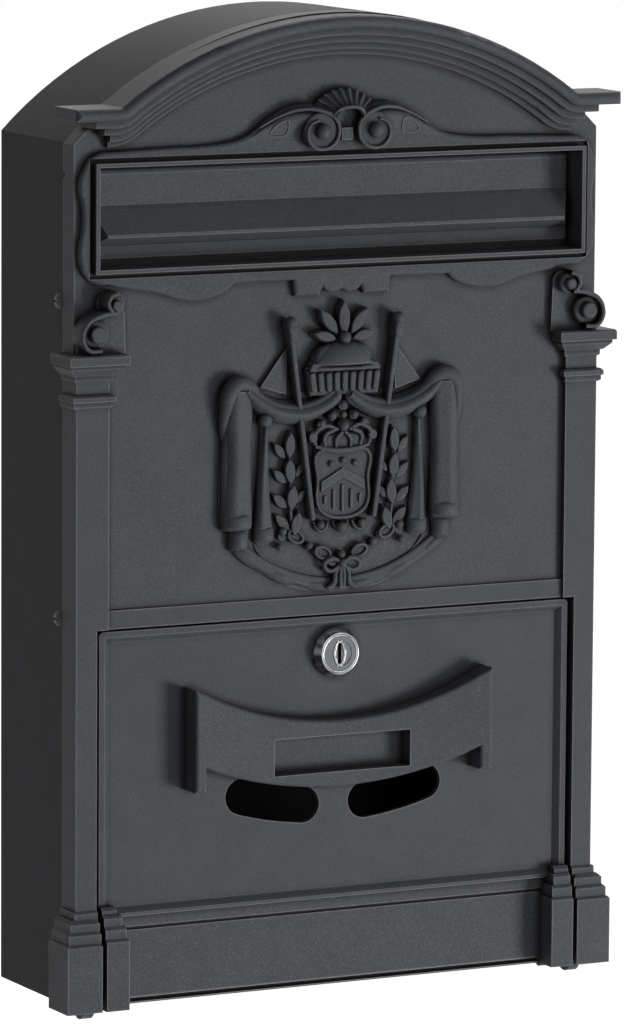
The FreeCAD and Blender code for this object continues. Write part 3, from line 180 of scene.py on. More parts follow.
def paintMaterial(name, look):
    material, tree, shader = newMaterial(name)
    shader.inputs["Specular IOR Level"].default_value = look["gloss"]
    link = tree.links.new
    place = addNode(tree, "ShaderNodeTexCoord", (-1100, 0))
    grain = addNode(tree, "ShaderNodeGroup", (-850, 0), node_tree=paintGrain)
    grain.inputs["Fine Scale"].default_value = look["fine"]
    grain.inputs["Coarse Scale"].default_value = look["coarse"]
    link(place.outputs["Object"], grain.inputs["Vector"])
    paintedLight = addNode(tree, "ShaderNodeGroup", (-850, -300), node_tree=edgeHighlightAndShade)
    cloud = mixColour(tree, (-550, 200), shade(look["colour"], grainRange["dull"]), look["colour"])
    link(grain.outputs["Mottle"], cloud.inputs[0])
    speck = mixColour(tree, (-300, 150), None, shade(look["colour"], grainRange["bright"]))
    link(grain.outputs["Speckle"], speck.inputs[0])
    link(cloud.outputs[2], speck.inputs[6])
    # painted highlight: outer edges are lightened towards the edge colour
    rim = mixColour(tree, (-50, 100), None, look["edge"])
    edgeShare = addNode(tree, "ShaderNodeMath", (-300, -150), operation="MULTIPLY")
    edgeShare.inputs[1].default_value = highlightShadeRange["edgeShare"]
    link(paintedLight.outputs["Edge"], edgeShare.inputs[0])
    link(edgeShare.outputs[0], rim.inputs[0])
    link(speck.outputs[2], rim.inputs[6])
    # painted shade: hollows and inner corners are darkened to a small share of the colour
    corner = mixColour(tree, (200, 100), None, shade(look["colour"], highlightShadeRange["hollowShade"]))
    link(paintedLight.outputs["Hollow"], corner.inputs[0])
    link(rim.outputs[2], corner.inputs[6])
    link(corner.outputs[2], shader.inputs["Base Color"])
    gloss = addNode(tree, "ShaderNodeMapRange", (200, -150))
    gloss.inputs["To Min"].default_value = look["roughness"] + 0.06
    gloss.inputs["To Max"].default_value = look["roughness"] - 0.08
    link(grain.outputs["Speckle"], gloss.inputs["Value"])
    link(gloss.outputs[0], shader.inputs["Roughness"])
    bump = addNode(tree, "ShaderNodeBump", (200, -400))
    bump.inputs["Strength"].default_value = look["bump"]
    bump.inputs["Distance"].default_value = 0.00025
    link(grain.outputs["Height"], bump.inputs["Height"])
    link(bump.outputs[0], shader.inputs["Normal"])
    return material


def metalMaterial(name, look):
    # plated metal with fine turning marks and a slightly uneven shine
    material, tree, shader = newMaterial(name)
    link = tree.links.new
    shader.inputs["Metallic"].default_value = 1.0
    place = addNode(tree, "ShaderNodeTexCoord", (-900, 0))
    noise = addNode(tree, "ShaderNodeTexNoise", (-650, 0))
    noise.inputs["Scale"].default_value = look["brush"]
    noise.inputs["Detail"].default_value = 4.0
    link(place.outputs["Object"], noise.inputs["Vector"])
    tint = mixColour(tree, (-300, 100), shade(look["colour"], look["dull"]), look["colour"])
    link(noise.outputs["Fac"], tint.inputs[0])
    link(tint.outputs[2], shader.inputs["Base Color"])
    shine = addNode(tree, "ShaderNodeMapRange", (-300, -150))
    shine.inputs["To Min"].default_value = look["roughness"] * 0.7
    shine.inputs["To Max"].default_value = look["roughness"] * 1.4
    link(noise.outputs["Fac"], shine.inputs["Value"])
    link(shine.outputs[0], shader.inputs["Roughness"])
    bump = addNode(tree, "ShaderNodeBump", (-300, -400))
    bump.inputs["Strength"].default_value = 0.08
    bump.inputs["Distance"].default_value = 0.0001
    link(noise.outputs["Fac"], bump.inputs["Height"])
    link(bump.outputs[0], shader.inputs["Normal"])
    return material


# colours of the painted reflection on the plating, its share on flat front faces and the size of its
# bands
chromeLook = {"bright": (0.78, 0.79, 0.80), "dark": (0.07, 0.072, 0.076), "face": 0.16,
              "reflectionBands": 2.3, "roughness": 0.14}


def chromeMaterial(name, look):
    # bright plating with a painted reflection: faces turned to the front are painted dark, and round
    # ones carry painted light and dark bands of reflection
    material, tree, shader = newMaterial(name)
    link = tree.links.new
    shader.inputs["Metallic"].default_value = 1.0
    shader.inputs["Roughness"].default_value = look["roughness"]
    place = addNode(tree, "ShaderNodeTexCoord", (-1100, 0))
    forward = addNode(tree, "ShaderNodeVectorMath", (-850, 150), operation="DOT_PRODUCT")
    forward.inputs[1].default_value = (0, -1, 0)
    link(place.outputs["Normal"], forward.inputs[0])
    curved = addNode(tree, "ShaderNodeMapRange", (-600, 150))
    curved.inputs["From Min"].default_value = 0.99
    curved.inputs["From Max"].default_value = 0.85
    curved.inputs["To Min"].default_value = look["face"]
    link(forward.outputs["Value"], curved.inputs["Value"])
    reflectionBands = addNode(tree, "ShaderNodeTexNoise", (-850, -150))
    reflectionBands.inputs["Scale"].default_value = look["reflectionBands"]
    reflectionBands.inputs["Detail"].default_value = 1.0
    link(place.outputs["Normal"], reflectionBands.inputs["Vector"])
    share = addNode(tree, "ShaderNodeMapRange", (-600, -150))
    share.inputs["From Min"].default_value = 0.40
    share.inputs["From Max"].default_value = 0.56
    share.inputs["To Min"].default_value = 0.12
    link(reflectionBands.outputs["Fac"], share.inputs["Value"])
    light = addNode(tree, "ShaderNodeMath", (-350, 0), operation="MULTIPLY")
    link(curved.outputs[0], light.inputs[0])
    link(share.outputs[0], light.inputs[1])
    tint = mixColour(tree, (-100, 0), look["dark"], look["bright"])
    link(light.outputs[0], tint.inputs[0])
    link(tint.outputs[2], shader.inputs["Base Color"])
    marks = addNode(tree, "ShaderNodeTexNoise", (-350, -350))
    marks.inputs["Scale"].default_value = 900.0
    link(place.outputs["Object"], marks.inputs["Vector"])
    bump = addNode(tree, "ShaderNodeBump", (0, -350))
    bump.inputs["Strength"].default_value = 0.06
    bump.inputs["Distance"].default_value = 0.0001
    link(marks.outputs["Fac"], bump.inputs["Height"])
    link(bump.outputs[0], shader.inputs["Normal"])
    return material


castPaint = paintMaterial("castPaint", paintLook)
sheetPaint = paintMaterial("sheetPaint", sheetLook)
zincPlate = metalMaterial("zincPlate", zincLook)
chromePlate = chromeMaterial("chromePlate", chromeLook)
blackScrew = paintMaterial("blackScrew", screwLook)
finishes = {"cast_paint": castPaint, "sheet_paint": sheetPaint, "zinc": zincPlate,
            "chrome": chromePlate, "black_screw": blackScrew}
slotOf = {part["node"]: part["material_slot"] for part in frame["record"]["subparts"]}
for nodeName, nodeObject in frame["nodes"].items():
    nodeObject.data.materials.clear()
    nodeObject.data.materials.append(finishes[slotOf[nodeName]])
print("materials on the cast and sheet pieces")

# tools for the cast ornaments

panelFace = 0.072    # the panel stands this far in front of the wall
baseLevel = 0.2      # heights are taken from the underside of the base
crestFoot = 168.3    # the crest's lowest point over the base


def spot(x, height, reach):
    # millimetres across, over the base and forward of the panel, to the shared frame
    return Vector((x / 1000, -panelFace - reach / 1000, height / 1000 - baseLevel))


def onCrest(x, height, reach):
    return spot(x, crestFoot + height, reach)


def bentRod(path, radius, closed=False, place=spot, sides=3, steps=8):
    # a round bar along a smooth line; each knot is (x, height, reach, share of the radius)
    bpy.ops.object.select_all(action="DESELECT")
    bpy.ops.curve.primitive_bezier_curve_add(location=(0, 0, 0))
    rod = bpy.context.active_object
    line = rod.data.splines[0]
    line.bezier_points.add(len(path) - 2)
    for knot, (x, height, reach, share) in zip(line.bezier_points, path):
        knot.co = place(x, height, reach)
        knot.handle_left_type = "AUTO"
        knot.handle_right_type = "AUTO"
        knot.radius = share
    line.use_cyclic_u = closed
    rod.data.dimensions = "3D"
    rod.data.resolution_u = steps
    rod.data.bevel_depth = radius / 1000
    rod.data.bevel_resolution = sides
    rod.data.use_fill_caps = not closed
    bpy.ops.object.convert(target="MESH")
    return bpy.context.active_object


def castSheet(across, along, shape):
    # a grid whose points are laid by shape(u, v), both from 0 to 1, as a low relief
    bpy.ops.object.select_all(action="DESELECT")
    bpy.ops.mesh.primitive_grid_add(x_subdivisions=across, y_subdivisions=along, size=1,
                                    location=(0, 0, 0))
    sheet = bpy.context.active_object
    for vertex in sheet.data.vertices:
        vertex.co = shape(vertex.co.x + 0.5, vertex.co.y + 0.5)
    return sheet


def pickOnly(piece):
    bpy.ops.object.select_all(action="DESELECT")
    piece.select_set(True)
    bpy.context.view_layer.objects.active = piece


def mirrorPiece(piece):
    # the same piece on the other side of the middle line, with its own mesh
    pickOnly(piece)
    bpy.ops.object.duplicate()
    twin = bpy.context.active_object
    twin.scale.x = -1
    bpy.ops.object.transform_apply(location=False, rotation=False, scale=True)
    return twin


def joinPieces(pieces):
    bpy.ops.object.select_all(action="DESELECT")
    for piece in pieces:
        piece.select_set(True)
    bpy.context.view_layer.objects.active = pieces[0]
    bpy.ops.object.join()
    return bpy.context.active_object


pieceFinish = {"mergeDistance": 0.000002, "smoothAngle": 50}


def finishPiece(piece, name, body="case", slot="cast_paint"):
    # normals outward, smooth shading, its finish and the body that carries it
    pickOnly(piece)
    piece.name = name
    piece.data.name = name
    bpy.ops.object.mode_set(mode="EDIT")
    bpy.ops.mesh.select_all(action="SELECT")
    bpy.ops.mesh.remove_doubles(threshold=pieceFinish["mergeDistance"])
    bpy.ops.mesh.normals_make_consistent(inside=False)
    bpy.ops.object.mode_set(mode="OBJECT")
    bpy.ops.object.shade_smooth_by_angle(angle=math.radians(pieceFinish["smoothAngle"]))
    piece.data.materials.clear()
    piece.data.materials.append(finishes[slot])
    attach(piece, body)


def finishPair(piece, name):
    # the right-hand piece and its twin on the left
    twin = mirrorPiece(piece)
    finishPiece(piece, name + "Right")
    finishPiece(twin, name + "Left")


def closeBack(sheet, depth):
    # the rim of a low relief is drawn back into the casting, so that it stands on it
    pickOnly(sheet)
    bpy.ops.object.mode_set(mode="EDIT")
    bpy.ops.mesh.select_all(action="SELECT")
    bpy.ops.mesh.region_to_loop()
    bpy.ops.mesh.extrude_edges_move(TRANSFORM_OT_translate={"value": (0, depth / 1000, 0)})
    bpy.ops.mesh.edge_face_add()
    bpy.ops.object.mode_set(mode="OBJECT")
    return sheet


# curtains of the mantle

curtain = {"inner": 41.4, "outer": 56.0, "low": 32.0, "high": 86.6, "reach": 7.4, "folds": 1.5,
           "grid": (40, 30), "back": 1.2}


def curtainShape(u, v):
    # u from the inner to the outer edge, v from the foot up to the shoulder
    gather = 0.86 + 0.14 * math.cos(v * math.pi) ** 2
    middle = (curtain["inner"] + curtain["outer"]) / 2 - 0.4 * v
    half = (curtain["outer"] - curtain["inner"]) / 2 * gather
    x = middle + (u - 0.5) * 2 * half
    swell = math.sqrt(max(0.0, 1 - abs(2 * u - 1) ** 2.6))
    fold = 0.3 * math.cos(2 * math.pi * curtain["folds"] * u)
    foot = -0.9 * math.sin(u * math.pi * 3) * (1 - v) ** 3
    height = curtain["low"] + (curtain["high"] - curtain["low"]) * v + 3 * foot
    return onCrest(x, height, 0.6 + (curtain["reach"] - 1.3 + fold) * swell)


finishPair(closeBack(castSheet(*curtain["grid"], curtainShape), curtain["back"]), "curtain")


def castCushion(left, right, low, high, reach, sag=0.6):
    # a soft cuff, round across and rounded over its upper and lower edges
    def shape(u, v):
        across = math.sqrt(max(0.0, 1 - (2 * u - 1) ** 2))
        upward = math.sqrt(1 - abs(2 * v - 1) ** 3)
        return onCrest(left + (right - left) * u, low + (high - low) * v - sag * across,
                       0.5 + (reach - 0.5) * across * (0.5 + 0.5 * upward))

    return closeBack(castSheet(24, 14, shape), 1.0)


# the rolled lower ends of the curtains, one under the other
curtainEnd = {"upper": (41.6, 55.6, 28.8, 36.4, 7.9), "lower": (43.0, 51.8, 20.4, 30.2, 5.6)}
finishPair(joinPieces([castCushion(*cuff) for cuff in curtainEnd.values()]), "curtainEnds")

# swags under the cap, thick rolls with creases

swag = {"centre": (22.2, 105.3), "radius": 29.0, "start": 229, "end": 321, "width": 10.2,
        "reach": 7.4, "ridge": 0.6, "grid": (24, 40), "back": 1.2}


def swagShape(u, v):
    # u across the roll, v along it from the middle to the shoulder
    angle = math.radians(swag["start"] + (swag["end"] - swag["start"]) * v)
    width = swag["width"] * (0.7 + 0.32 * math.sin(math.pi * v))
    distance = swag["radius"] + (u - 0.5) * width
    if u < swag["ridge"]:
        swell = math.sin(math.pi / 2 * u / swag["ridge"]) ** 0.75
    else:
        swell = max(0.0, math.cos(math.pi / 2 * (u - swag["ridge"]) / (1 - swag["ridge"]))) ** 0.55
    crease = 0.3 * math.cos(2 * math.pi * (1.4 * u + 0.5 * v)) * math.sin(math.pi * v)
    return onCrest(swag["centre"][0] + distance * math.cos(angle),
                   swag["centre"][1] + distance * math.sin(angle),
                   0.6 + (swag["reach"] - 1.1 + crease) * swell)


finishPair(closeBack(castSheet(*swag["grid"], swagShape), swag["back"]), "swag")

# the turned-over shoulders, a roll that comes up, over and down again
shoulder = {"radius": 3.6, "path": [(40.6, 84.6, 2.8, 0.75), (44.6, 88.6, 3.6, 0.95),
                                    (49.4, 89.4, 4.0, 1.05), (52.6, 86.2, 4.0, 1.0),
                                    (53.8, 80.4, 3.4, 0.88), (54.2, 73.0, 1.8, 0.72),
                                    (53.6, 64.0, 0.6, 0.4)]}
finishPair(bentRod(shoulder["path"], shoulder["radius"], place=onCrest), "shoulder")
print("curtains and swags done")

# waved hem of the mantle

hem = {"radius": 73.6, "centre": 74.2, "half": 41.5, "width": 5.6, "waves": 11, "reach": 2.7,
       "grid": (12, 110), "back": 1.0}


def hemShape(u, v):
    # u across the hem from its outside, v along it
    angle = math.radians(270 + (v - 0.5) * 2 * hem["half"])
    wave = math.sin(v * math.pi * hem["waves"])
    distance = hem["radius"] + 0.9 - u * hem["width"] + 0.35 * wave
    swell = max(0.0, math.sin(math.pi * u)) ** 0.6
    return onCrest(distance * math.cos(angle), hem["centre"] + distance * math.sin(angle),
                   0.5 + (hem["reach"] - 0.9 + 0.55 * wave) * swell)


finishPiece(closeBack(castSheet(*hem["grid"], hemShape), hem["back"]), "mantleHem")

# a pleat on each side, from the foot of the drape down to the hem
pleat = {"line": [(40.4, 24.0, 0.6, 0.4), (38.4, 19.4, 0.9, 1.0), (33.6, 14.4, 0.7, 0.5)],
         "radius": 0.9}
pleatRight = bentRod(pleat["line"], pleat["radius"], place=onCrest)
finishPiece(joinPieces([pleatRight, mirrorPiece(pleatRight)]), "mantlePleats")

# inner drapes under their balls

drape = {"top": 71.0, "low": 26.4, "topHalf": 1.2, "lowHalf": 5.1, "reach": 5.0,
         "grid": (20, 24), "back": 1.0, "foot": (30.9, 41.1, 23.2, 29.8, 5.6)}


def drapeShape(u, v):
    height = drape["low"] + (drape["top"] - drape["low"]) * v
    half = drape["lowHalf"] + (drape["topHalf"] - drape["lowHalf"]) * v ** 0.8
    middle = 36.0 + 0.4 * math.sin(v * 4)
    swell = math.sqrt(max(0.0, 1 - (2 * u - 1) ** 2))
    fold = 0.4 * math.cos(2 * math.pi * 1.5 * u) * (1 - v)
    return onCrest(middle + (u - 0.5) * 2 * half, height, 0.5 + (drape["reach"] - 0.9 + fold) * swell)


drapeFall = closeBack(castSheet(*drape["grid"], drapeShape), drape["back"])
finishPair(joinPieces([drapeFall, castCushion(*drape["foot"])]), "drape")


def castBall(x, height, reach, radius, place=onCrest):
    # a small ball half sunk in the casting
    bpy.ops.object.select_all(action="DESELECT")
    bpy.ops.mesh.primitive_uv_sphere_add(segments=16, ring_count=10, radius=radius / 1000,
                                         location=place(x, height, reach))
    ball = bpy.context.active_object
    bpy.ops.object.mode_set(mode="EDIT")
    bpy.ops.mesh.select_all(action="SELECT")
    bpy.ops.mesh.bisect(plane_co=place(x, height, reach - radius * 0.45), plane_no=(0, 1, 0),
                        use_fill=True, clear_outer=True)
    bpy.ops.object.mode_set(mode="OBJECT")
    bpy.ops.object.transform_apply(location=True, rotation=False, scale=False)
    return ball


drapeBall = {"place": (36.2, 74.2, 3.8), "radius": 3.1}
balls = [castBall(side * drapeBall["place"][0], *drapeBall["place"][1:], drapeBall["radius"])
         for side in (-1, 1)]
finishPiece(joinPieces(balls), "drapeBalls")
print("mantle done")

# cap over the mantle: a dome on two rings, and round tips on the staffs

cap = {"base": 96.0, "half": 14.8, "rise": 10.5, "deep": 8.3,
       "rings": [(15.4, 96.3, 6.0, 0.85), (16.8, 94.3, 6.2, 0.95)], "tip": (25.3, 114.2, 5.6, 2.7),
       "grid": (32, 14), "back": 1.0}


def domeShape(u, v):
    # u round the front from left to right, v from the foot of the dome to its top
    around = math.pi * u
    upward = math.pi / 2 * v
    return onCrest(-cap["half"] * math.cos(around) * math.cos(upward),
                   cap["base"] + cap["rise"] * math.sin(upward),
                   0.8 + cap["deep"] * math.sin(around) * math.cos(upward))


parts = [closeBack(castSheet(*cap["grid"], domeShape), cap["back"])]
for half, height, reach, radius in cap["rings"]:
    parts.append(bentRod([(-half, height, reach - 3.4, 0.8), (-half * 0.8, height, reach - 0.6, 1.0),
                          (0, height, reach, 1.0), (half * 0.8, height, reach - 0.6, 1.0),
                          (half, height, reach - 3.4, 0.8)], radius, place=onCrest))
for side in (-1, 1):
    parts.append(castBall(side * cap["tip"][0], *cap["tip"][1:]))
finishPiece(joinPieces(parts), "capDome")

# coronet over the shield, with arches and pearls

coronet = {"pearls": [(0, 78.8, 3.6, 1.9), (0, 74.6, 4.4, 1.6), (-5.2, 74.6, 4.2, 1.8),
                      (5.2, 74.6, 4.2, 1.8), (0, 69.8, 4.6, 2.4), (-9.8, 71.4, 3.8, 1.7),
                      (9.8, 71.4, 3.8, 1.7), (-13.8, 66.6, 3.4, 1.6), (13.8, 66.6, 3.4, 1.6)],
           "rim": [(-12.4, 61.6, 3.6, 0.8), (-6.2, 60.2, 4.4, 1.0), (0, 59.8, 4.8, 1.0),
                   (6.2, 60.2, 4.4, 1.0), (12.4, 61.6, 3.6, 0.8)],
           "arches": [[(-12.6, 62.4, 3.4, 0.9), (-13.2, 66.6, 4.0, 1.0), (-8.6, 70.2, 4.4, 1.0),
                       (-2.6, 68.4, 4.6, 0.8)],
                      [(-8.2, 61.6, 3.8, 0.8), (-8.6, 66.0, 4.4, 1.0), (-4.0, 68.6, 4.8, 0.9)],
                      [(-3.4, 61.0, 4.4, 0.7), (-3.2, 64.8, 4.8, 0.9), (-0.6, 67.4, 5.0, 0.8)]],
           "rimWire": 1.1, "archWire": 1.0}
parts = [castBall(*pearl) for pearl in coronet["pearls"]]
parts.append(bentRod(coronet["rim"], coronet["rimWire"], place=onCrest))
for arch in coronet["arches"]:
    otherSide = [(-x, height, reach, share) for x, height, reach, share in arch]
    for line in (arch, otherSide):
        parts.append(bentRod(line, coronet["archWire"], place=onCrest))
finishPiece(joinPieces(parts), "coronetWork")

# frame and charges of the shield

shield = {"frame": [(-11.6, 59.0, 4.1, 1), (-11.7, 48.0, 4.1, 1), (-11.6, 37.0, 4.1, 1),
                    (-8.4, 33.4, 4.1, 1), (0, 31.4, 4.1, 1), (8.4, 33.4, 4.1, 1),
                    (11.6, 37.0, 4.1, 1), (11.7, 48.0, 4.1, 1), (11.6, 59.0, 4.1, 1),
                    (0, 58.4, 4.1, 1)], "wire": 0.8,
          "studs": [(-5.6, 54.2), (5.6, 54.2), (0, 55.4)], "studReach": 4.1, "studRadius": 1.3,
          "scallops": (-9.0, 0, 9.0), "scallopWire": 0.7,
          "scallopLine": [(-3.4, 29.8, 1.8, 0.8), (-2.2, 27.2, 2.2, 1.0), (0, 26.0, 2.4, 1.0),
                          (2.2, 27.2, 2.2, 1.0), (3.4, 29.8, 1.8, 0.8)]}
parts = [bentRod(shield["frame"], shield["wire"], closed=True, place=onCrest, steps=5)]
for x, height in shield["studs"]:
    parts.append(castBall(x, height, shield["studReach"], shield["studRadius"]))
for middle in shield["scallops"]:    # they hang under the shield
    line = [(middle + x, height, reach, share) for x, height, reach, share in shield["scallopLine"]]
    parts.append(bentRod(line, shield["scallopWire"], place=onCrest))
finishPiece(joinPieces(parts), "shieldFrame")

# leaves of the two branches and of the finial

leafLook = {"midrib": 0.9, "base": 1.2, "grid": (12, 12), "back": 1.4}
branchLeaves = [(22.6, 25.0, 105, 11.0, 5.2, 4.6), (23.8, 35.6, 96, 11.4, 5.4, 4.8),
                (24.0, 46.6, 86, 11.4, 5.4, 4.8), (24.8, 57.6, 94, 11.4, 5.2, 4.7),
                (24.0, 27.0, 46, 10.2, 4.8, 3.9), (25.4, 36.6, 42, 9.4, 4.6, 3.9),
                (25.8, 47.0, 44, 8.8, 4.4, 3.9), (26.4, 57.4, 52, 8.8, 4.2, 3.8),
                (21.6, 38.4, 132, 7.6, 3.8, 3.9), (21.6, 49.4, 128, 7.6, 3.8, 3.9)]
finialLeaves = [(0, 106.4, 90, 16.6, 6.2, 6.0), (2.6, 107.4, 54, 14.4, 5.8, 5.9),
                (3.2, 105.6, 16, 11.8, 5.0, 5.8), (-2.6, 107.4, 126, 14.4, 5.8, 5.9),
                (-3.2, 105.6, 164, 11.8, 5.0, 5.8)]
finialBall = (0, 107.0, 5.4, 2.7)
stem = {"line": [(19.6, 22.4, 2.2, 0.8), (23.0, 30.0, 2.8, 1.0), (23.6, 44.0, 2.8, 1.0),
                 (24.4, 58.0, 2.4, 0.7)], "radius": 0.8}


def castLeaf(x, height, angle, length, width, reach):
    # a pointed leaf with a sunk midrib, its rim drawn back into the casting
    turn = math.radians(angle)

    def shape(u, v):
        half = width / 2 * math.sin(math.pi * v ** 0.8) ** 0.75 if 0 < v < 1 else 0
        side = (u - 0.5) * 2
        along = length * v
        across = side * half
        swell = (1 - abs(side) ** 2.2) * (0.35 + 0.65 * math.sin(math.pi * min(1, v * 0.9 + 0.08)))
        groove = leafLook["midrib"] * math.exp(-(side * 5) ** 2) * math.sin(math.pi * v)
        depth = leafLook["base"] + (reach - leafLook["base"]) * swell - groove * 0.6
        return onCrest(x + along * math.cos(turn) - across * math.sin(turn),
                       height + along * math.sin(turn) + across * math.cos(turn), depth)

    return closeBack(castSheet(*leafLook["grid"], shape), leafLook["back"])


parts = [castLeaf(*leaf) for leaf in branchLeaves]
parts.append(bentRod(stem["line"], stem["radius"], place=onCrest))
finishPair(joinPieces(parts), "branch")
parts = [castLeaf(*leaf) for leaf in finialLeaves]
parts.append(castBall(*finialBall))
finishPiece(joinPieces(parts), "finialLeaves")
print("branches and finial done")

# garland of links and studs, and the bow that ties it

garland = {"links": [(21.4, 24.4, 30), (8.6, 16.8, 22)], "length": 7.2, "width": 3.6, "wire": 0.75,
           "reach": 3.2,
           "studs": [(27.4, 26.8, 1.9), (15.0, 20.2, 1.7), (9.6, 28.6, 1.9), (28.6, 20.4, 1.6)],
           "studReach": 3.0, "middleStuds": [(0, 15.6, 3.2, 1.9), (0, 27.4, 3.2, 2.3)]}


def castLink(x, height, angle):
    turn = math.radians(angle)
    ring = []
    for along, across in ((-0.5, 0), (-0.34, 0.46), (0.34, 0.46), (0.5, 0), (0.34, -0.46),
                          (-0.34, -0.46)):
        lengthways = along * garland["length"]
        sideways = across * garland["width"]
        ring.append((x + lengthways * math.cos(turn) - sideways * math.sin(turn),
                     height + lengthways * math.sin(turn) + sideways * math.cos(turn),
                     garland["reach"], 1.0))
    return bentRod(ring, garland["wire"], closed=True, place=onCrest, steps=5)


parts = []
for x, height, angle in garland["links"]:
    parts.append(castLink(x, height, angle))
    parts.append(castLink(-x, height, -angle))
for x, height, radius in garland["studs"]:
    for side in (-1, 1):
        parts.append(castBall(side * x, height, garland["studReach"], radius))
for stud in garland["middleStuds"]:
    parts.append(castBall(*stud))
finishPiece(joinPieces(parts), "garland")

bow = {"wire": 0.95, "loop": [(0.6, 12.6, 4.0, 0.9), (5.2, 14.2, 4.2, 1.1), (8.2, 11.6, 4.0, 1.1),
                              (5.4, 9.0, 4.0, 1.0), (1.0, 11.2, 4.0, 0.8)],
       "tail": [(0.6, 11.6, 4.0, 0.8), (3.0, 8.0, 4.2, 1.1), (3.4, 4.2, 4.0, 1.3),
                (6.4, 1.6, 3.8, 1.2)],
       "strand": [(0.4, 11.0, 4.2, 0.8), (0.9, 6.6, 4.4, 1.1), (0.6, 1.8, 4.0, 1.2)],
       "knot": (0, 12.0, 4.4, 1.9)}
parts = []
for line in (bow["loop"], bow["tail"], bow["strand"]):
    half = bentRod(line, bow["wire"], place=onCrest)
    parts += [half, mirrorPiece(half)]
parts.append(castBall(*bow["knot"]))
finishPiece(joinPieces(parts), "bow")
print("garland and bow done")

# shell between the volutes

shell = {"flutes": 11, "half": 15.4, "rise": 12.4, "foot": 366.2, "spread": 78, "reach": 9.6,
         "grid": (132, 16), "back": 2.2, "lipWire": 0.8,
         "lip": [(-7.4, 367.2, 7.6, 0.8), (-5.6, 370.2, 9.0, 1.0), (0, 371.6, 9.8, 1.0),
                 (5.6, 370.2, 9.0, 1.0), (7.4, 367.2, 7.6, 0.8)]}


def shellShape(u, v):
    # u round the shell, v from its lip out to its scalloped rim
    angle = math.radians((u - 0.5) * 2 * shell["spread"])
    flute = math.cos(u * math.pi * 2 * shell["flutes"])
    radius = 0.42 + 0.58 * v + 0.03 * flute * v
    reach = shell["reach"] - (shell["reach"] - 3.4) * v ** 0.75 + 0.4 * flute * (0.3 + v)
    return spot(shell["half"] * radius * math.sin(angle),
                shell["foot"] + shell["rise"] * radius * math.cos(angle), reach)


shellFan = closeBack(castSheet(*shell["grid"], shellShape), shell["back"])
shellLip = bentRod(shell["lip"], shell["lipWire"])
finishPiece(joinPieces([shellFan, shellLip]), "shellFan")

# volutes with their necks

volute = {"eye": (12.4, 361.6, 8.2, 3.3), "rim": 0.75, "neckLow": 358.0, "neckFar": 43.5,
          "neckRun": 30.5, "grid": (24, 32), "back": 1.2, "markWire": 0.35,
          "mark": [(34.4, 360.3), (34.7, 360.9), (33.0, 363.8), (30.0, 365.8), (27.3, 366.2),
                   (26.9, 365.6), (26.9, 361.0), (27.3, 360.4)],
          "curl": [(39.0, 363.6, 3.2, 0.5), (30.0, 368.2, 3.8, 0.9), (21.0, 370.8, 5.6, 1.2),
                   (12.0, 369.9, 7.4, 1.3), (6.2, 366.4, 7.9, 1.2), (4.7, 361.6, 8.0, 1.1),
                   (6.6, 356.8, 8.0, 1.1), (11.6, 354.3, 8.0, 1.1), (17.0, 355.9, 8.0, 1.1),
                   (19.2, 360.4, 7.9, 1.0), (17.6, 364.6, 8.0, 0.9), (14.0, 366.2, 8.2, 0.7)]}


def neckTop(v):
    return volute["neckLow"] + 1.4 + 11.4 * math.sin(math.pi / 2 * min(1.0, v * 1.25))


def neckReach(x, height):
    # the neck swells towards its upper edge and towards the volute
    v = (volute["neckFar"] - x) / volute["neckRun"]
    u = (height - volute["neckLow"]) / (neckTop(v) - volute["neckLow"])
    swell = max(0.0, math.sin(math.pi * min(1.0, max(0.0, u)) ** 2.2)) ** 0.6
    return 2.9 + (0.3 + 3.8 * v) * swell


def neckShape(u, v):
    # u up the neck, v from its thin end to the volute
    x = volute["neckFar"] - volute["neckRun"] * v
    height = volute["neckLow"] + (neckTop(v) - volute["neckLow"]) * u
    return spot(x, height, neckReach(x, height))


neckRight = closeBack(castSheet(*volute["grid"], neckShape), volute["back"])
curlRight = bentRod(volute["curl"], volute["rim"], steps=10)
markLine = [(x, height, neckReach(x, height) + 0.1, 1) for x, height in volute["mark"]]
panelMark = bentRod(markLine, volute["markWire"], closed=True)
eyeBall = castBall(*volute["eye"], place=spot)
finishPair(joinPieces([neckRight, curlRight, eyeBall, panelMark]), "volute")
print("shell and volutes done")

# scroll straps on the capitals

strap = {"thickness": 1.0, "deep": 4.1, "middle": 4.2,
         "long": [(113.2, 275.2), (118.6, 275.4), (121.2, 278.2), (121.7, 281.8), (119.2, 286.8),
                  (115.0, 289.0), (110.6, 290.2), (107.0, 290.4)],
         "hook": [(108.4, 290.8), (110.2, 293.6), (109.2, 297.0), (106.0, 298.3)]}


def castStrap(line):
    # a flat bar on edge that follows the line across the front
    bpy.ops.object.select_all(action="DESELECT")
    bpy.ops.curve.primitive_bezier_curve_add(location=(0, 0, 0))
    bar = bpy.context.active_object
    run = bar.data.splines[0]
    run.bezier_points.add(len(line) - 2)
    bar.data.dimensions = "2D"
    for knot, (x, height) in zip(run.bezier_points, line):
        knot.co = (x / 1000, height / 1000 - baseLevel, 0)
        knot.handle_left_type = "AUTO"
        knot.handle_right_type = "AUTO"
    bar.data.extrude = strap["deep"] / 1000
    bar.data.bevel_depth = strap["thickness"] / 1000
    bar.data.bevel_resolution = 3
    bar.data.fill_mode = "NONE"
    bar.rotation_euler = (math.radians(90), 0, 0)
    bar.location = (0, -panelFace - strap["middle"] / 1000, 0)
    bpy.ops.object.convert(target="MESH")
    bpy.ops.object.transform_apply(location=True, rotation=True, scale=False)
    return bpy.context.active_object


finishPair(joinPieces([castStrap(strap["long"]), castStrap(strap["hook"])]), "strap")
print("scroll straps done")

# face of the lock: a stepped rim and a raised guard round the keyway

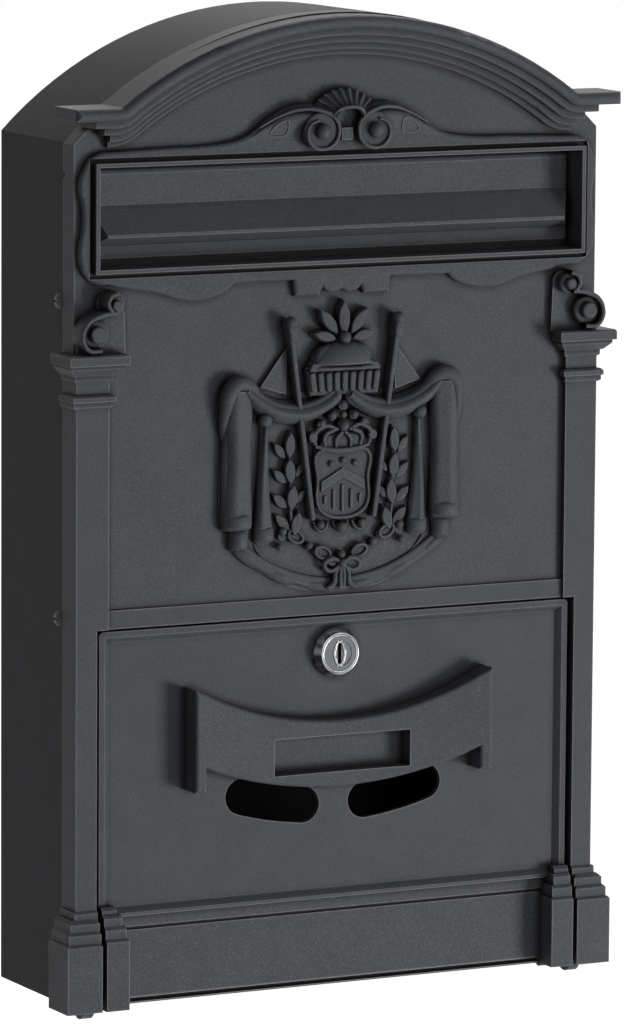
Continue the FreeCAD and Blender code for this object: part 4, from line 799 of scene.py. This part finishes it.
lockFace = {"height": 141.9, "rimRadius": 8.2, "rimWire": 0.8, "front": 3.2, "guardHalf": 2.1,
            "guardHigh": 4.9, "guardWire": 0.55, "blade": 5.6, "bladeHalf": 1.3,
            "guardLine": [(0, 1, 0.8), (1, 0.4, 1.1), (1, -0.4, 1.1), (0, -1, 0.8),
                          (-1, -0.4, 1.1), (-1, 0.4, 1.1)]}


def roundRing(radius, wire, reach, height):
    bpy.ops.object.select_all(action="DESELECT")
    bpy.ops.mesh.primitive_torus_add(major_radius=radius / 1000, minor_radius=wire / 1000,
                                     major_segments=64, minor_segments=12,
                                     location=spot(0, height, reach),
                                     rotation=(math.radians(90), 0, 0))
    bpy.ops.object.transform_apply(location=True, rotation=True, scale=False)
    return bpy.context.active_object


rim = roundRing(lockFace["rimRadius"], lockFace["rimWire"], lockFace["front"] - 0.1,
                lockFace["height"])
finishPiece(rim, "lockRim", "door", "chrome")
guardFront = lockFace["front"] - 0.3
guardPath = []
for across, up, share in lockFace["guardLine"]:
    guardPath.append((across * lockFace["guardHalf"], lockFace["height"] + up * lockFace["guardHigh"],
                      guardFront, share))
parts = [bentRod(guardPath, lockFace["guardWire"], closed=True)]
for turn in (-1, 1):    # small blades at the ends of the keyway
    high = lockFace["height"] + turn * lockFace["blade"]
    parts.append(bentRod([(-lockFace["bladeHalf"], high, guardFront, 0.5),
                          (0, high - turn * 0.7, guardFront + 0.1, 1.0),
                          (lockFace["bladeHalf"], high, guardFront, 0.5)], lockFace["guardWire"]))
finishPiece(joinPieces(parts), "keyGuard", "lock_core", "chrome")
print("lock face done")

# floor, light and camera

studio = {"floorHeight": -1.2, "floorSize": 30.0, "floorColour": (0.82, 0.82, 0.82, 1),
          "floorRoughness": 0.9, "worldLight": 0.055}
lamps = {"keyLight": {"power": 54.0, "place": (1.75, -1.95, -0.75), "size": 0.8},
         "fillLight": {"power": 1.4, "place": (-1.4, -2.6, -0.2), "size": 1.8},
         "crownLight": {"power": 1.9, "place": (0.1, -1.0, 0.1), "size": 0.5,
                        "target": (0, -0.07, 0.16)},
         "roofLight": {"power": 20.0, "place": (0.9, 0.9, 1.5), "size": 1.0},
         "backLight": {"power": 16.0, "place": (0.5, 2.4, 0.2), "size": 1.2}}


def buildFloor():
    bpy.ops.object.select_all(action="DESELECT")
    bpy.ops.mesh.primitive_plane_add(size=studio["floorSize"],
                                     location=(0, 0, studio["floorHeight"]))
    floor = bpy.context.active_object
    floor.name = "studioFloor"
    material, tree, shader = newMaterial("studioFloorPaint")
    shader.inputs["Base Color"].default_value = studio["floorColour"]
    shader.inputs["Roughness"].default_value = studio["floorRoughness"]
    shader.inputs["Emission Color"].default_value = (1, 1, 1, 1)
    seen = addNode(tree, "ShaderNodeLightPath", (0, -300))
    mirrored = addNode(tree, "ShaderNodeMath", (200, -300), operation="MAXIMUM")
    tree.links.new(seen.outputs["Is Camera Ray"], mirrored.inputs[0])
    tree.links.new(seen.outputs["Is Glossy Ray"], mirrored.inputs[1])
    clear = addNode(tree, "ShaderNodeMath", (400, -300), operation="MAXIMUM")
    tree.links.new(mirrored.outputs[0], clear.inputs[0])
    tree.links.new(seen.outputs["Is Transmission Ray"], clear.inputs[1])
    tree.links.new(clear.outputs[0], shader.inputs["Emission Strength"])
    floor.data.materials.append(material)


def aimedLight(name, power, place, size, target=(0, -0.05, 0)):
    lamp = bpy.data.lights.new(name, "AREA")
    lamp.energy = power
    lamp.size = size
    lampObject = bpy.data.objects.new(name, lamp)
    scene.collection.objects.link(lampObject)
    lampObject.location = place
    aim = Vector(target) - Vector(place)
    lampObject.rotation_euler = aim.to_track_quat("-Z", "Y").to_euler()


def buildWorld():
    world = bpy.data.worlds.new("studioWorld")
    scene.world = world
    world.use_nodes = True
    tree = world.node_tree
    tree.nodes.clear()
    output = addNode(tree, "ShaderNodeOutputWorld", (600, 0))
    light = addNode(tree, "ShaderNodeBackground", (0, 100))
    light.inputs["Strength"].default_value = studio["worldLight"]
    backdrop = addNode(tree, "ShaderNodeBackground", (0, -100))
    backdrop.inputs["Color"].default_value = (1, 1, 1, 1)
    light.inputs["Color"].default_value = (1, 1, 1, 1)
    seen = addNode(tree, "ShaderNodeLightPath", (-300, 400))
    glossy = addNode(tree, "ShaderNodeMath", (-100, 400), operation="MAXIMUM")
    clear = addNode(tree, "ShaderNodeMath", (100, 400), operation="MAXIMUM")
    tree.links.new(seen.outputs["Is Camera Ray"], glossy.inputs[0])
    tree.links.new(seen.outputs["Is Glossy Ray"], glossy.inputs[1])
    tree.links.new(glossy.outputs[0], clear.inputs[0])
    tree.links.new(seen.outputs["Is Transmission Ray"], clear.inputs[1])
    choose = addNode(tree, "ShaderNodeMixShader", (300, 0))
    tree.links.new(clear.outputs[0], choose.inputs[0])
    tree.links.new(light.outputs[0], choose.inputs[1])
    tree.links.new(backdrop.outputs[0], choose.inputs[2])
    tree.links.new(choose.outputs[0], output.inputs["Surface"])


cameraFit = {"place": (-1.2982, -2.5630, 0.3944), "yaw": 27.308, "elevation": 7.968,
             "roll": 0.3909, "lens": 238.65}


def buildCamera():
    yaw = math.radians(cameraFit["yaw"])
    elevation = math.radians(cameraFit["elevation"])
    roll = math.radians(cameraFit["roll"])
    forward = Vector((math.sin(yaw) * math.cos(elevation), math.cos(yaw) * math.cos(elevation),
                      -math.sin(elevation)))
    right = Vector((math.cos(yaw), -math.sin(yaw), 0))
    up = right.cross(forward)
    rolledRight = right * math.cos(roll) + up * math.sin(roll)
    rolledUp = up * math.cos(roll) - right * math.sin(roll)
    data = bpy.data.cameras.new("studioCamera")
    data.sensor_width = 36.0
    data.lens = cameraFit["lens"]
    data.clip_end = 60.0
    cameraObject = bpy.data.objects.new("studioCamera", data)
    scene.collection.objects.link(cameraObject)
    turn = Matrix((rolledRight, rolledUp, -forward)).transposed().to_4x4()
    cameraObject.matrix_world = Matrix.Translation(cameraFit["place"]) @ turn
    scene.camera = cameraObject


buildFloor()
buildWorld()
for lampName, lampLook in lamps.items():
    aimedLight(lampName, **lampLook)
buildCamera()
scene.view_settings.view_transform = "Standard"
print("floor, light and camera in place")
